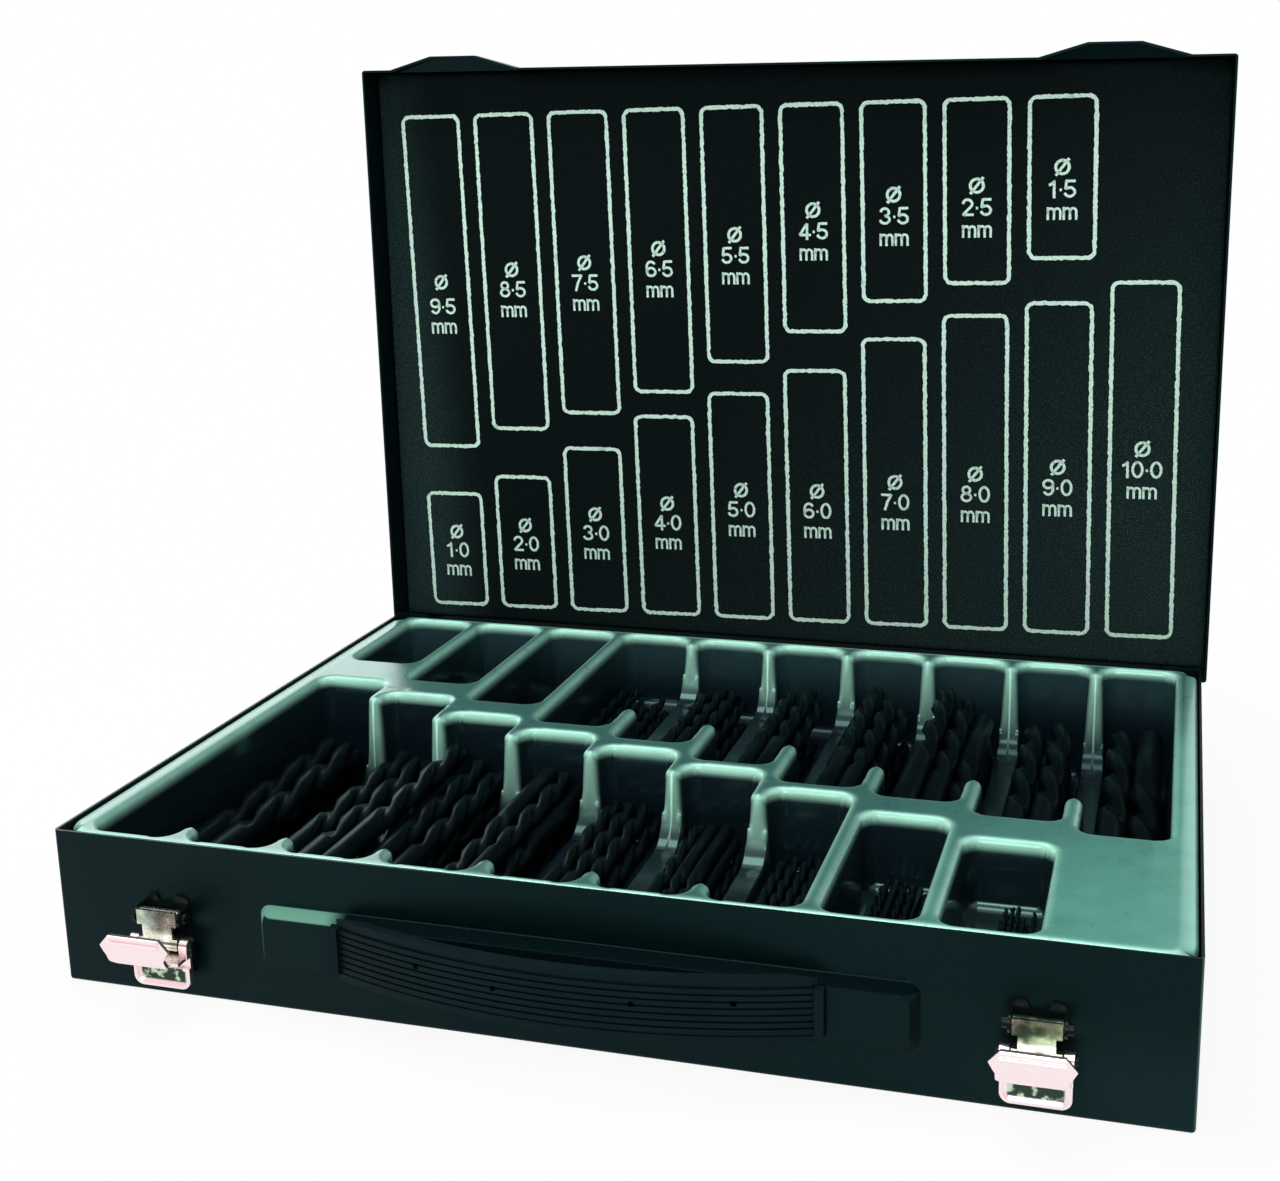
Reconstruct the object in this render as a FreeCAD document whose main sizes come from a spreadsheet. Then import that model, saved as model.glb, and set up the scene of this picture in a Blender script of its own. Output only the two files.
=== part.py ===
import FreeCAD, Part
import math
import os
import re

import Sketcher
from FreeCAD import Placement, Rotation, Vector

# A steel case for loose twist drills, in millimetres: a folded base that holds one black formed tray
# with a pocket for each drill size, and a lid on a piano hinge that leans back open at a right angle.
# The origin is on the underside of the base, in its middle. +X is right, -Y is the front, +Z is up.
# The lid's pieces are drawn closed and their placement swings them open.

doc = FreeCAD.newDocument("drill_case")

# ---------------------------------------------------------------- driving dimensions

SIZES = [
    ("case_width", 335.0, "base, outside"),
    ("case_depth", 228.5, "base, outside"),
    ("base_height", 49.5, "rim of the base above its underside"),
    ("steel", 0.8, "sheet steel of base and lid"),
    ("bend_radius", 1.2, "outside radius of the folded edges"),
    ("lid_gap", 1.3, "clear space between a base wall and the lid flange outside it"),
    ("lid_overlap", 5.7, "closed lid flange reaches this far down past the base rim"),
    ("lid_flange", 15.0, "lid rim to the outside of the lid plate"),
    ("foam", 3.0, "liner thickness"),
    ("foam_gap", 0.3, "clear space round the liner"),
    ("knuckle_radius", 2.0, "hinge knuckle, outside"),
    ("hinge_pin_radius", 1.0, "hinge pin"),
    ("pin_fit", 0.05, "radial running clearance of every turning pin"),
    ("hinge_margin", 15.5, "end of the piano hinge to the side of the case"),
    ("hinge_axis_out", 1.4, "hinge axis behind the back wall"),
    ("hinge_axis_up", 1.2, "hinge axis above the closed lid rim"),
    ("leaf", 0.9, "hinge leaf thickness"),
    ("leaf_reach", 9.5, "lid leaf, from the knuckles to its edge"),
    ("base_leaf_reach", 16.0, "base leaf, from the knuckles to its edge"),
    ("knuckle_gap", 0.3, "end play between neighbouring knuckles, and round them"),
    ("stop_gap", 0.2, "lid tab to corner ear, lid open"),
    ("ear_width", 14.0, "corner ears at the back of the base, and the lid tabs that stop on them"),
    ("ear_rise", 0.5, "corner ears above the base rim"),
    ("tray_sheet", 1.0, "formed tray wall"),
    ("tray_drop", 0.3, "tray flat below the base rim"),
    ("tray_gap_side", 0.5, "tray edge to the base wall, left and right"),
    ("tray_gap_front", 0.4, "tray edge to the base wall, front and back"),
    ("floor_gap", 0.2, "deepest pockets above the base floor"),
    ("tray_margin", 6.5, "side of the case to the outermost pocket column"),
    ("pocket_width", 26.6, "pocket mouth across"),
    ("pocket_draft", 2.5, "pocket walls lean, in degrees"),
    ("front_row_edge", 5.3, "front ends of the front pockets, from the case front"),
    ("back_row_edge", 4.7, "back ends of the back pockets, from the case back"),
    ("shallow_floor", 27.0, "floor of the smallest pocket above the floor of the largest"),
    ("divider_stub", 7.5, "what stays of a cut divider at the back end of its pockets"),
    ("front_fin", 9.0, "what stays of it at the front end, front row"),
    ("back_fin", 20.0, "what stays of it at the front end, back row"),
    ("divider_ridge", 6.0, "low ridge left across a cut divider, above the higher pocket floor"),
    ("divider_foot", 10.0, "radius at the foot of a cut divider"),
    ("hardware_shift", -1.5, "handle and latches sit this far to the right of the middle"),
    ("boss_length", 195.0, "raised panel behind the handle"),
    ("boss_bottom", 13.5, "raised panel, lower edge"),
    ("boss_top", 33.6, "raised panel, upper edge"),
    ("boss_rise", 4.0, "raised panel stands proud of the wall"),
    ("boss_slope", 2.4, "sloping border of the raised panel"),
    ("boss_corner", 4.0, "rounded corners of the raised panel"),
    ("strap_length", 145.0, "handle strap"),
    ("strap_height", 19.4, "handle strap across"),
    ("strap_bottom", 14.6, "handle strap, lower edge"),
    ("strap_bow", 12.0, "strap bows out past the raised panel"),
    ("strap_thick", 2.2, "handle strap between its ridges"),
    ("strap_ridge", 0.7, "handle ridges stand proud"),
    ("strap_margin", 2.8, "edge of the strap to its first ridge"),
    ("strap_band", 2.24, "raised band along each edge of the strap"),
    ("strap_ridge_count", 7, "handle ridges"),
    ("tongue", 2.6, "thickness of the tongue at each end of the strap"),
    ("tongue_height", 14.0, "tongue across"),
    ("tongue_gap", 0.3, "tongue in its slot, each side"),
    ("latch_margin", 39.0, "latch to the side of the case, before hardware_shift"),
    ("bracket", 0.8, "latch bracket sheet"),
    ("bracket_bottom", 9.0, "bracket, lower edge"),
    ("bracket_top", 33.0, "bracket, upper edge"),
    ("bracket_corner", 3.0, "rounded upper corners of the bracket"),
    ("notch_radius", 3.2, "half-round notch in the bracket's upper edge"),
    ("rivet_radius", 1.5, "rivet shank"),
    ("rivet_head", 2.5, "rivet head radius"),
    ("rivet_dome", 0.9, "rivet head height"),
    ("rivet_spread", 4.2, "rivets, each side of the latch's middle"),
    ("rivet_up", 4.5, "rivets above the bracket's lower edge"),
    ("lever_pin_radius", 1.25, "pin between bracket and link"),
    ("lever_pin_out", 4.4, "its axis, out from the wall"),
    ("lever_pin_up", 28.0, "its axis, above the underside"),
    ("hook_pin_radius", 1.0, "pin between link and hook"),
    ("hook_pin_out", 0.4, "its axis, further out than the lever pin"),
    ("hook_pin_down", 8.3, "its axis, below the lever pin"),
    ("latch_knuckle", 2.2, "outside radius of the rolled ends of link and hook"),
    ("link_width", 13.0, "link across"),
    ("link_sheet", 0.9, "link sheet"),
    ("link_crest", 2.4, "link's upper edge above its pin"),
    ("link_waist", 9.8, "link across its waist"),
    ("ear_radius", 2.625, "rounded ends of the bracket ears"),
    ("lever_head_radius", 1.625, "heads of the lever pin"),
    ("lever_head", 1.5, "length of its heads"),
    ("side_play", 0.35, "between link and bracket ears, and link and hook cheeks"),
    ("hook_sheet", 1.0, "hook sheet"),
    ("cheek", 2.6, "hook cheeks on their pin"),
    ("cheek_play", 0.15, "hook cheeks clear of the link, on top of side_play"),
    ("hook_head_radius", 1.3, "heads of the hook pin"),
    ("hook_head", 1.0, "length of its heads"),
    ("hook_clear", 0.4, "link knuckle to the hook's root plate"),
    ("scoop_reach", 6.5, "hook pin to the centre of the scoop's bend"),
    ("scoop_radius", 6.8, "outside radius of the scoop's bend"),
    ("lip_height", 4.9, "hook lip above the centre of the bend"),
    ("lip_width", 16.4, "hook lip across its rolled edge"),
    ("tip_width", 22.4, "hook across its pointed corners"),
    ("plate_width", 18.8, "thumb plate across"),
    ("plate_length", 10.2, "thumb plate below the hook's root"),
    ("plate_rim", 0.9, "thumb plate's raised rim"),
    ("plate_corner", 3.0, "rounded lower corners of the thumb plate"),
    ("lip_roll", 0.7, "radius of the hook lip's rolled edge"),
    ("lip_roll_pitch", 1.7, "upper roll of the lip to the one below it"),
    ("bump_rise", 5.0, "finger bumps on the lid's front flange stand proud"),
    ("bump_base", 54.0, "finger bump across at the flange"),
    ("bump_crest", 19.0, "finger bump across its crest"),
    ("bump_crest_up", 3.6, "bump crest above the lid rim"),
    ("bump_base_up", 6.5, "bump's upper edge above the lid rim"),
    ("drill_gap", 0.3, "drill to drill, and drill to pocket"),
    ("small_drill_count", 10, "drills in each pocket up to small_drill_limit"),
    ("large_drill_count", 5, "drills in each pocket above it"),
    ("small_drill_limit", 8.0, "largest drill that comes ten to a pocket"),
    ("drill_point", 118.0, "point angle, in degrees"),
]

# Pocket mouth lengths and drill lengths for each drill diameter. The back row runs from the left in
# whole millimetres, and the front row from the left in halves, largest first.
BACK_ROW = [
    (1.0, 54.0, 34.0), (2.0, 71.1, 49.0), (3.0, 86.7, 61.0), (4.0, 101.7, 75.0), (5.0, 110.4, 86.0),
    (6.0, 122.9, 93.0), (7.0, 134.7, 109.0), (8.0, 138.8, 117.0), (9.0, 146.1, 125.0), (10.0, 152.7, 133.0),
]
FRONT_ROW = [
    (9.5, 142.2, 125.0), (8.5, 131.6, 117.0), (7.5, 117.6, 109.0), (6.5, 107.4, 101.0), (5.5, 99.3, 93.0),
    (4.5, 89.5, 80.0), (3.5, 76.9, 70.0), (2.5, 65.0, 57.0), (1.5, 53.8, 40.0),
]
WHOLE_DIVIDERS_BACK = 3     # the first dividers of the back row, beside the shortest pockets
WHOLE_DIVIDERS_FRONT = 2    # the last dividers of the front row

# Sizes that follow from the others.
FOLLOWS = [
    ("half_width", "case_width / 2"),
    ("half_depth", "case_depth / 2"),
    ("hinge_length", "case_width - 2 * hinge_margin"),
    ("column_pitch", "(case_width - 2 * tray_margin) / 10"),
    ("latch_pitch", "case_width - 2 * latch_margin"),
    ("back_wall", "half_depth - 1.2 * steel"),
    ("rim_up", "base_height - lid_overlap"),
    ("hinge_y", "half_depth + hinge_axis_out"),
    ("hinge_z", "rim_up + hinge_axis_up"),
    ("knuckle_clear", "knuckle_radius + knuckle_gap"),
    ("lid_out", "lid_gap + steel"),
    ("lid_top", "rim_up + lid_flange"),
    ("tray_top", "base_height - tray_drop"),
    ("deep_floor", "steel + floor_gap + tray_sheet"),
    ("ear_inner", "half_width - ear_width - steel / 2"),
    ("bracket_width", "link_width + 2 * side_play + 2 * bracket"),
    ("hook_pin_w", "lever_pin_out + hook_pin_out"),
    ("hook_pin_z", "lever_pin_up - hook_pin_down"),
    ("root_z", "hook_pin_z - latch_knuckle - hook_clear - hook_sheet"),
    ("bend_w", "hook_pin_w + scoop_reach"),
    ("bend_z", "root_z + scoop_radius"),
    ("lip_z", "bend_z + lip_height"),
    ("cheek_in", "link_width / 2 + side_play + cheek_play"),
    ("cheek_out", "cheek_in + cheek"),
    ("strap_radius", "(strap_length * strap_length / 4 + strap_bow * strap_bow) / (2 * strap_bow)"),
    ("strap_mid_w", "boss_rise + strap_bow - strap_radius"),
    ("ridge_pitch", "(strap_height - 2 * strap_margin) / strap_ridge_count"),
]

sheet = doc.addObject("Spreadsheet::Sheet", "Sizes")
row = 0
for alias, number, note in SIZES:
    row += 1
    sheet.set("A%d" % row, alias)
    sheet.set("B%d" % row, str(number))
    sheet.set("C%d" % row, note)
    sheet.setAlias("B%d" % row, alias)
for diameter, mouth, drill in BACK_ROW + FRONT_ROW:
    for stem, number in (("pocket_length", mouth), ("drill_length", drill), ("drill_diameter", diameter)):
        row += 1
        alias = "%s_%s" % (stem, str(diameter).replace(".", "_"))
        sheet.set("A%d" % row, alias)
        sheet.set("B%d" % row, str(number))
        sheet.setAlias("B%d" % row, alias)
ALIASES = [name for name, _, _ in SIZES] + [name for name, _ in FOLLOWS]
for diameter, _, _ in BACK_ROW + FRONT_ROW:
    tag = str(diameter).replace(".", "_")
    ALIASES += ["pocket_length_" + tag, "drill_length_" + tag, "drill_diameter_" + tag]
for alias, formula in FOLLOWS:
    row += 1
    sheet.set("A%d" % row, alias)
    sheet.set("B%d" % row, "=" + formula)
    sheet.setAlias("B%d" % row, alias)
doc.recompute()


def size(alias):
    """The number in one cell."""
    return float(sheet.get(alias))


# ---------------------------------------------------------------- ways to make a shape

def linked(formula):
    """A formula of plain size names, as an expression on the sheet's cells."""
    return re.sub(r"[a-z][a-z_0-9]*", lambda word: "Sizes." + word.group()
                  if word.group() in ALIASES else word.group(), formula)


def bind(thing, **formulas):
    for prop, formula in formulas.items():
        thing.setExpression(prop.replace("__", "."), linked(formula))
    return thing


def made(kind, name):
    return doc.addObject(kind, name)


def box(name, x, y, z):
    """A block between the two formulas given for each axis."""
    thing = made("Part::Box", name)
    return bind(thing, Length="(%s) - (%s)" % (x[1], x[0]), Width="(%s) - (%s)" % (y[1], y[0]),
                Height="(%s) - (%s)" % (z[1], z[0]),
                Placement__Base__x=x[0], Placement__Base__y=y[0], Placement__Base__z=z[0])


def rod(name, x, y, z, radius):
    """A cylinder along X between two formulas."""
    thing = made("Part::Cylinder", name)
    thing.Placement = Placement(Vector(), Rotation(Vector(0, 1, 0), 90))
    return bind(thing, Radius=radius, Height="(%s) - (%s)" % (x[1], x[0]),
                Placement__Base__x=x[0], Placement__Base__y=y, Placement__Base__z=z)


def stud(name, x, y, z, radius, outer_radius=None):
    """A cylinder, or a cone that ends at outer_radius, along +Y between two formulas."""
    thing = made("Part::Cylinder" if outer_radius is None else "Part::Cone", name)
    thing.Placement = Placement(Vector(), Rotation(Vector(1, 0, 0), -90))
    bind(thing, Height="(%s) - (%s)" % (y[1], y[0]),
         Placement__Base__x=x, Placement__Base__y=y[0], Placement__Base__z=z)
    if outer_radius is None:
        return bind(thing, Radius=radius)
    return bind(thing, Radius1=radius, Radius2=outer_radius)


def frustum_y(name, y, low, high):
    """A block that tapers along Y: low and high hold its x and z limits at each end."""
    thing = made("Part::Wedge", name)
    return bind(thing, Ymin=y[0], Ymax=y[1], Xmin=low[0], Xmax=low[1], Zmin=low[2], Zmax=low[3],
                X2min=high[0], X2max=high[1], Z2min=high[2], Z2max=high[3])


def frustum_z(name, z, low, high):
    """A block that tapers along Z: low and high hold its x and y limits at each end."""
    thing = made("Part::Wedge", name)
    thing.Placement = Placement(Vector(), Rotation(Vector(1, 0, 0), 90))
    return bind(thing, Ymin=z[0], Ymax=z[1], Xmin=low[0], Xmax=low[1],
                Zmin="-(%s)" % low[3], Zmax="-(%s)" % low[2],
                X2min=high[0], X2max=high[1], Z2min="-(%s)" % high[3], Z2max="-(%s)" % high[2])


def fuse(name, shapes):
    thing = made("Part::MultiFuse", name)
    thing.Shapes = shapes
    return thing


def cut(name, base, tools):
    thing = made("Part::Cut", name)
    thing.Base = base
    thing.Tool = tools[0] if len(tools) == 1 else fuse(name + "_cuts", tools)
    return thing


def common(name, one, other):
    thing = made("Part::MultiCommon", name)
    thing.Shapes = [one, other]
    return thing


def rounded(name, base, radius, chosen):
    """Rounds the edges whose middle and direction pass the test chosen."""
    doc.recompute()
    thing = made("Part::Fillet", name)
    thing.Base = base
    picked = []
    for number, edge in enumerate(base.Shape.Edges, 1):
        run = (edge.Vertexes[-1].Point - edge.Vertexes[0].Point).normalize()
        if chosen(edge.CenterOfMass, run):
            picked.append((number, radius, radius))
    thing.Edges = picked
    return thing


pieces = []


def piece(thing, label):
    """Names a finished piece; its label is also the name of its file."""
    thing.Label = label
    pieces.append(thing)
    return thing


# ---------------------------------------------------------------- latch places

LATCHES = {
    "left": "hardware_shift - latch_pitch / 2",
    "right": "hardware_shift + latch_pitch / 2",
}
RIVET_UP = "bracket_bottom + rivet_up"


# ---------------------------------------------------------------- base

def open_box(name, half_x, half_y, z, wall, radius, upward):
    """A box open at the top if upward, else at the bottom, with rounded folds."""
    low, high = z
    outer = box(name + "_outside", ("-(%s)" % half_x, half_x), ("-(%s)" % half_y, half_y), (low, high))
    inner_z = ("(%s) + %s" % (low, wall), "(%s) + 1" % high) if upward else \
        ("(%s) - 1" % low, "(%s) - %s" % (high, wall))
    inner = box(name + "_inside", ("-(%s) + %s" % (half_x, wall), "(%s) - %s" % (half_x, wall)),
                ("-(%s) + %s" % (half_y, wall), "(%s) - %s" % (half_y, wall)), inner_z)
    doc.recompute()
    plate = outer.Shape.BoundBox.ZMin if upward else outer.Shape.BoundBox.ZMax
    inner_plate = inner.Shape.BoundBox.ZMin if upward else inner.Shape.BoundBox.ZMax
    outside = rounded(name + "_outside_folds", outer, radius,
                      lambda mid, run: abs(run.z) > 0.9 or abs(mid.z - plate) < 0.01)
    inside = rounded(name + "_inside_folds", inner, radius - size(wall),
                     lambda mid, run: abs(run.z) > 0.9 or abs(mid.z - inner_plate) < 0.01)
    return cut(name + "_sheet", outside, [inside])


base_box = open_box("base", "half_width", "half_depth", ("0", "base_height + ear_rise"), "steel",
                    size("bend_radius"), True)
front = "-half_depth"


def panel(name, grow, inner, outer, corner_radius):
    """The raised panel's block, from inner to outer, made smaller by grow all round."""
    shift = "hardware_shift"
    half = "boss_length / 2 - (%s)" % grow
    block = frustum_y(name, ("%s - (%s)" % (front, outer), "%s - (%s)" % (front, inner)),
                     ("%s - (%s) + boss_slope" % (shift, half), "%s + (%s) - boss_slope" % (shift, half),
                      "boss_bottom + (%s) + boss_slope" % grow, "boss_top - (%s) - boss_slope" % grow),
                     ("%s - (%s)" % (shift, half), "%s + (%s)" % (shift, half),
                      "boss_bottom + (%s)" % grow, "boss_top - (%s)" % grow))
    return rounded(name + "_corners", block, corner_radius, lambda mid, run: abs(run.y) > 0.5)


panel_out = panel("panel_outside", "0", "0", "boss_rise", size("boss_corner"))
panel_in = panel("panel_inside", "steel", "-steel", "boss_rise - steel", size("boss_corner") - size("steel"))
tongue_z = ("strap_bottom + (strap_height - tongue_height) / 2",
            "strap_bottom + (strap_height + tongue_height) / 2")
base_cuts = [
    panel_in,
    # Front and side walls end at the rim, and only the two corner ears at the back stand higher.
    box("rim_trim", ("-half_width - 1", "half_width + 1"), ("-half_depth - 1", "back_wall"),
        ("base_height", "base_height + ear_rise + 1")),
    box("hinge_trim", ("-ear_inner", "ear_inner"), ("back_wall", "half_depth + 1"),
        ("hinge_z - knuckle_clear", "base_height + ear_rise + 1")),
]
for side, sign in (("left", "-"), ("right", "+")):
    edge = "hardware_shift %s (strap_length / 2 - tongue / 2)" % sign
    base_cuts.append(box("strap_slot_" + side, ("%s - tongue / 2 - tongue_gap" % edge,
                                                "%s + tongue / 2 + tongue_gap" % edge),
                         ("%s - boss_rise - 1" % front, "%s - boss_rise + 2 * steel" % front),
                         ("%s - tongue_gap" % tongue_z[0], "%s + tongue_gap" % tongue_z[1])))
for side, latch_x in LATCHES.items():
    for sign in "-+":
        base_cuts.append(stud("rivet_hole_%s_%s" % (side, "ab"[sign == "+"]),
                              "%s %s rivet_spread" % (latch_x, sign), (front + " - 1", front + " + 2"),
                              RIVET_UP, "rivet_radius"))
piece(cut("base_shell", fuse("base_and_panel", [base_box, panel_out]), base_cuts), "base_shell")


# ---------------------------------------------------------------- tray

def pocket_names(rows):
    return [str(diameter).replace(".", "_") for diameter, _, _ in rows]


LARGEST = max(diameter for diameter, _, _ in BACK_ROW)
SMALLEST = min(diameter for diameter, _, _ in BACK_ROW)


def floor_up(diameter):
    """Inside floor of a pocket: the larger the drill, the deeper the pocket."""
    return "deep_floor + shallow_floor * %s / %s" % (LARGEST - diameter, LARGEST - SMALLEST)


def column_x(index):
    return "column_pitch * (%s)" % (index - 4.5)


def pocket_y(back, tag):
    """Front and back ends of a pocket's mouth."""
    if back:
        return ("half_depth - back_row_edge - pocket_length_" + tag, "half_depth - back_row_edge")
    return ("front_row_edge - half_depth", "front_row_edge - half_depth + pocket_length_" + tag)


def pocket(name, back, index, diameter, grow, top):
    """A pocket's space, or with grow its outside; it narrows downwards by the draft."""
    tag = str(diameter).replace(".", "_")
    x_mid = column_x(index)
    y = pocket_y(back, tag)
    floor = "%s - (%s)" % (floor_up(diameter), grow)
    lean = "((tray_top - (%s)) * tan(pocket_draft))" % floor
    half = "pocket_width / 2 + (%s)" % grow
    high = ("%s - (%s)" % (x_mid, half), "%s + (%s)" % (x_mid, half),
            "%s - (%s)" % (y[0], grow), "%s + (%s)" % (y[1], grow))
    low = ("%s + %s" % (high[0], lean), "%s - %s" % (high[1], lean),
           "%s + %s" % (high[2], lean), "%s - %s" % (high[3], lean))
    return frustum_z(name, (floor, top), low, high)


def divider_gap(name, back, index, left, right, grow):
    """The space cut from the divider between two pockets, with a round foot at each end."""
    short = min(left, right, key=lambda one: one[1])
    y = pocket_y(back, str(short[0]).replace(".", "_"))
    fin = "back_fin" if back else "front_fin"
    y_low = "%s + %s - (%s)" % (y[0], fin, grow)
    y_high = "%s - divider_stub + (%s)" % (y[1], grow)
    x_mid = "column_pitch * (%s)" % (index - 4.0)
    half = "column_pitch / 2" if grow == "0" else "column_pitch / 2 - pocket_width / 2 + 3 * tray_sheet"
    x = ("%s - (%s)" % (x_mid, half), "%s + (%s)" % (x_mid, half))
    ridge = "%s + divider_ridge - (%s)" % (floor_up(min(left[0], right[0])), grow)
    foot = "divider_foot + (%s)" % grow
    top = "tray_top" if grow != "0" else "tray_top + 1"
    return [
        box(name + "_low", x, ("%s + %s" % (y_low, foot), "%s - (%s)" % (y_high, foot)), (ridge, top)),
        box(name + "_high", x, (y_low, y_high), ("%s + %s" % (ridge, foot), top)),
        rod(name + "_foot_front", x, "%s + %s" % (y_low, foot), "%s + %s" % (ridge, foot), foot),
        rod(name + "_foot_back", x, "%s - (%s)" % (y_high, foot), "%s + %s" % (ridge, foot), foot),
    ]


tray_solid = [box("tray_flat", ("-half_width + steel + tray_gap_side", "half_width - steel - tray_gap_side"),
                  ("-half_depth + steel + tray_gap_front", "half_depth - steel - tray_gap_front"),
                  ("tray_top - tray_sheet", "tray_top"))]
tray_space = []
for back, pockets in ((True, BACK_ROW), (False, FRONT_ROW)):
    row_name = "back" if back else "front"
    for index, (diameter, _, _) in enumerate(pockets):
        name = "pocket_%s_%d" % (row_name, index)
        tray_solid.append(pocket(name + "_cup", back, index, diameter, "tray_sheet", "tray_top"))
        tray_space.append(pocket(name, back, index, diameter, "0", "tray_top"))
    for index in range(len(pockets) - 1):
        whole = index < WHOLE_DIVIDERS_BACK if back else index >= len(pockets) - 1 - WHOLE_DIVIDERS_FRONT
        if whole:
            continue
        name = "divider_%s_%d" % (row_name, index)
        pair = (pockets[index], pockets[index + 1])
        tray_solid += divider_gap(name + "_cup", back, index, pair[0], pair[1], "tray_sheet")
        tray_space += divider_gap(name, back, index, pair[0], pair[1], "0")
# Nothing of the dividers' round feet stands above the flat, however shallow the case is made.
tray_space.append(box("above_tray", ("-half_width", "half_width"), ("-half_depth", "half_depth"),
                      ("tray_top", "tray_top + 3 * divider_foot")))
piece(cut("drill_tray", fuse("tray_outside", tray_solid), tray_space), "drill_tray")


# ---------------------------------------------------------------- lid, drawn closed

def swing_open(thing):
    """The lid leans back a quarter turn about the hinge axis."""
    thing.Placement = Placement(Vector(), Rotation(Vector(1, 0, 0), -90))
    return bind(thing, Placement__Base__y="hinge_y - hinge_z", Placement__Base__z="hinge_z + hinge_y")


lid_box = open_box("cover", "half_width + lid_out", "half_depth + lid_out", ("rim_up", "lid_top"), "steel",
                   size("bend_radius"), False)
lid_front = "-half_depth - lid_out"
bumps_out = []
bumps_in = []
for side, latch_x in LATCHES.items():
    for grow, inward, below, group in (("0", "0", "0", bumps_out), ("steel", "steel", "1", bumps_in)):
        group.append(frustum_y(
            "bump_%s_%s" % (side, "outside" if grow == "0" else "inside"),
            ("%s - bump_rise + %s" % (lid_front, grow), "%s + %s" % (lid_front, inward)),
            ("%s - bump_crest / 2 + %s" % (latch_x, grow), "%s + bump_crest / 2 - %s" % (latch_x, grow),
             "rim_up - %s" % below, "rim_up + bump_crest_up - %s" % grow),
            ("%s - bump_base / 2 + %s" % (latch_x, grow), "%s + bump_base / 2 - %s" % (latch_x, grow),
             "rim_up - %s" % below, "rim_up + bump_base_up - %s" % grow)))
lid_cuts = bumps_in + [
    box("lid_hinge_trim", ("-ear_inner", "ear_inner"), ("half_depth", "half_depth + lid_out + 1"),
        ("rim_up - 1", "hinge_z + knuckle_clear"))]
swing_open(piece(cut("lid_shell", fuse("lid_and_bumps", [lid_box] + bumps_out), lid_cuts), "lid_shell"))

foam_top = "lid_top - steel - foam_gap"
foam = doc.addObject("PartDesign::Body", "foam_sheet")
outline = foam.newObject("Sketcher::SketchObject", "foam_outline")
plane = [item for item in foam.Origin.OriginFeatures if item.Role == "XY_Plane"][0]
outline.AttachmentSupport = [(plane, "")]
outline.MapMode = "FlatFace"
bind(outline, AttachmentOffset__Base__z=foam_top + " - foam")
CORNERS = [("-half_width - lid_gap + foam_gap", "-half_depth - lid_gap + foam_gap"),
           ("half_width + lid_gap - foam_gap", "-half_depth - lid_gap + foam_gap"),
           ("half_width + lid_gap - foam_gap", "half_depth + lid_gap - leaf - foam_gap"),
           ("-half_width - lid_gap + foam_gap", "half_depth + lid_gap - leaf - foam_gap")]
START = [Vector(-1, -1, 0), Vector(1, -1, 0), Vector(1, 1, 0), Vector(-1, 1, 0)]
for index in range(4):
    outline.addGeometry(Part.LineSegment(START[index] * 100, START[(index + 1) % 4] * 100), False)
for index in range(4):
    outline.addConstraint(Sketcher.Constraint("Coincident", index, 2, (index + 1) % 4, 1))
for index in range(4):
    for kind, formula in zip(("DistanceX", "DistanceY"), CORNERS[index]):
        number = outline.addConstraint(Sketcher.Constraint(kind, -1, 1, index, 1, 100.0))
        outline.setExpression("Constraints[%d]" % number, linked(formula))
doc.recompute()
pad = foam.newObject("PartDesign::Pad", "foam_pad")
pad.Profile = outline
bind(pad, Length="foam")
swing_open(piece(foam, "lid_foam"))


# ---------------------------------------------------------------- piano hinge

KNUCKLES = 19       # an odd count, so that the base leaf holds both ends of the pin


def knuckle_x(index):
    """One knuckle's two ends."""
    pitch = "(hinge_length / %d)" % KNUCKLES
    start = "-hinge_length / 2 + %s * %d" % (pitch, index)
    return (start + " + knuckle_gap / 2", "%s + %s - knuckle_gap / 2" % (start, pitch))


def hinge_leaf(name, first, y, z, tie_z):
    """A flat leaf with every second knuckle, each joined to it by a short tie."""
    shapes = [box(name + "_plate", ("-hinge_length / 2", "hinge_length / 2"), y, z)]
    for index in range(first, KNUCKLES, 2):
        x = knuckle_x(index)
        shapes.append(rod("%s_knuckle_%d" % (name, index), x, "hinge_y", "hinge_z", "knuckle_radius"))
        shapes.append(box("%s_tie_%d" % (name, index), x, y, tie_z))
    bore = rod(name + "_bore", ("-hinge_length / 2 - 1", "hinge_length / 2 + 1"), "hinge_y", "hinge_z",
               "hinge_pin_radius + pin_fit")
    return cut(name, fuse(name + "_solid", shapes), [bore])


piece(hinge_leaf("hinge_leaf_base", 0, ("half_depth", "half_depth + leaf"),
                 ("hinge_z - knuckle_clear - base_leaf_reach", "hinge_z - knuckle_clear"),
                 ("hinge_z - knuckle_clear", "hinge_z - 1.1 * hinge_pin_radius")), "hinge_leaf_base")
swing_open(piece(hinge_leaf("hinge_leaf_lid", 1, ("half_depth + lid_gap - leaf", "half_depth + lid_gap"),
                            ("hinge_z + knuckle_clear", "hinge_z + knuckle_clear + leaf_reach"),
                            ("hinge_z + 1.1 * hinge_pin_radius", "hinge_z + knuckle_clear")),
                 "hinge_leaf_lid"))
piece(rod("hinge_pin", ("-hinge_length / 2", "hinge_length / 2"), "hinge_y", "hinge_z", "hinge_pin_radius"),
      "hinge_pin")


# ---------------------------------------------------------------- handle

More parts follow.
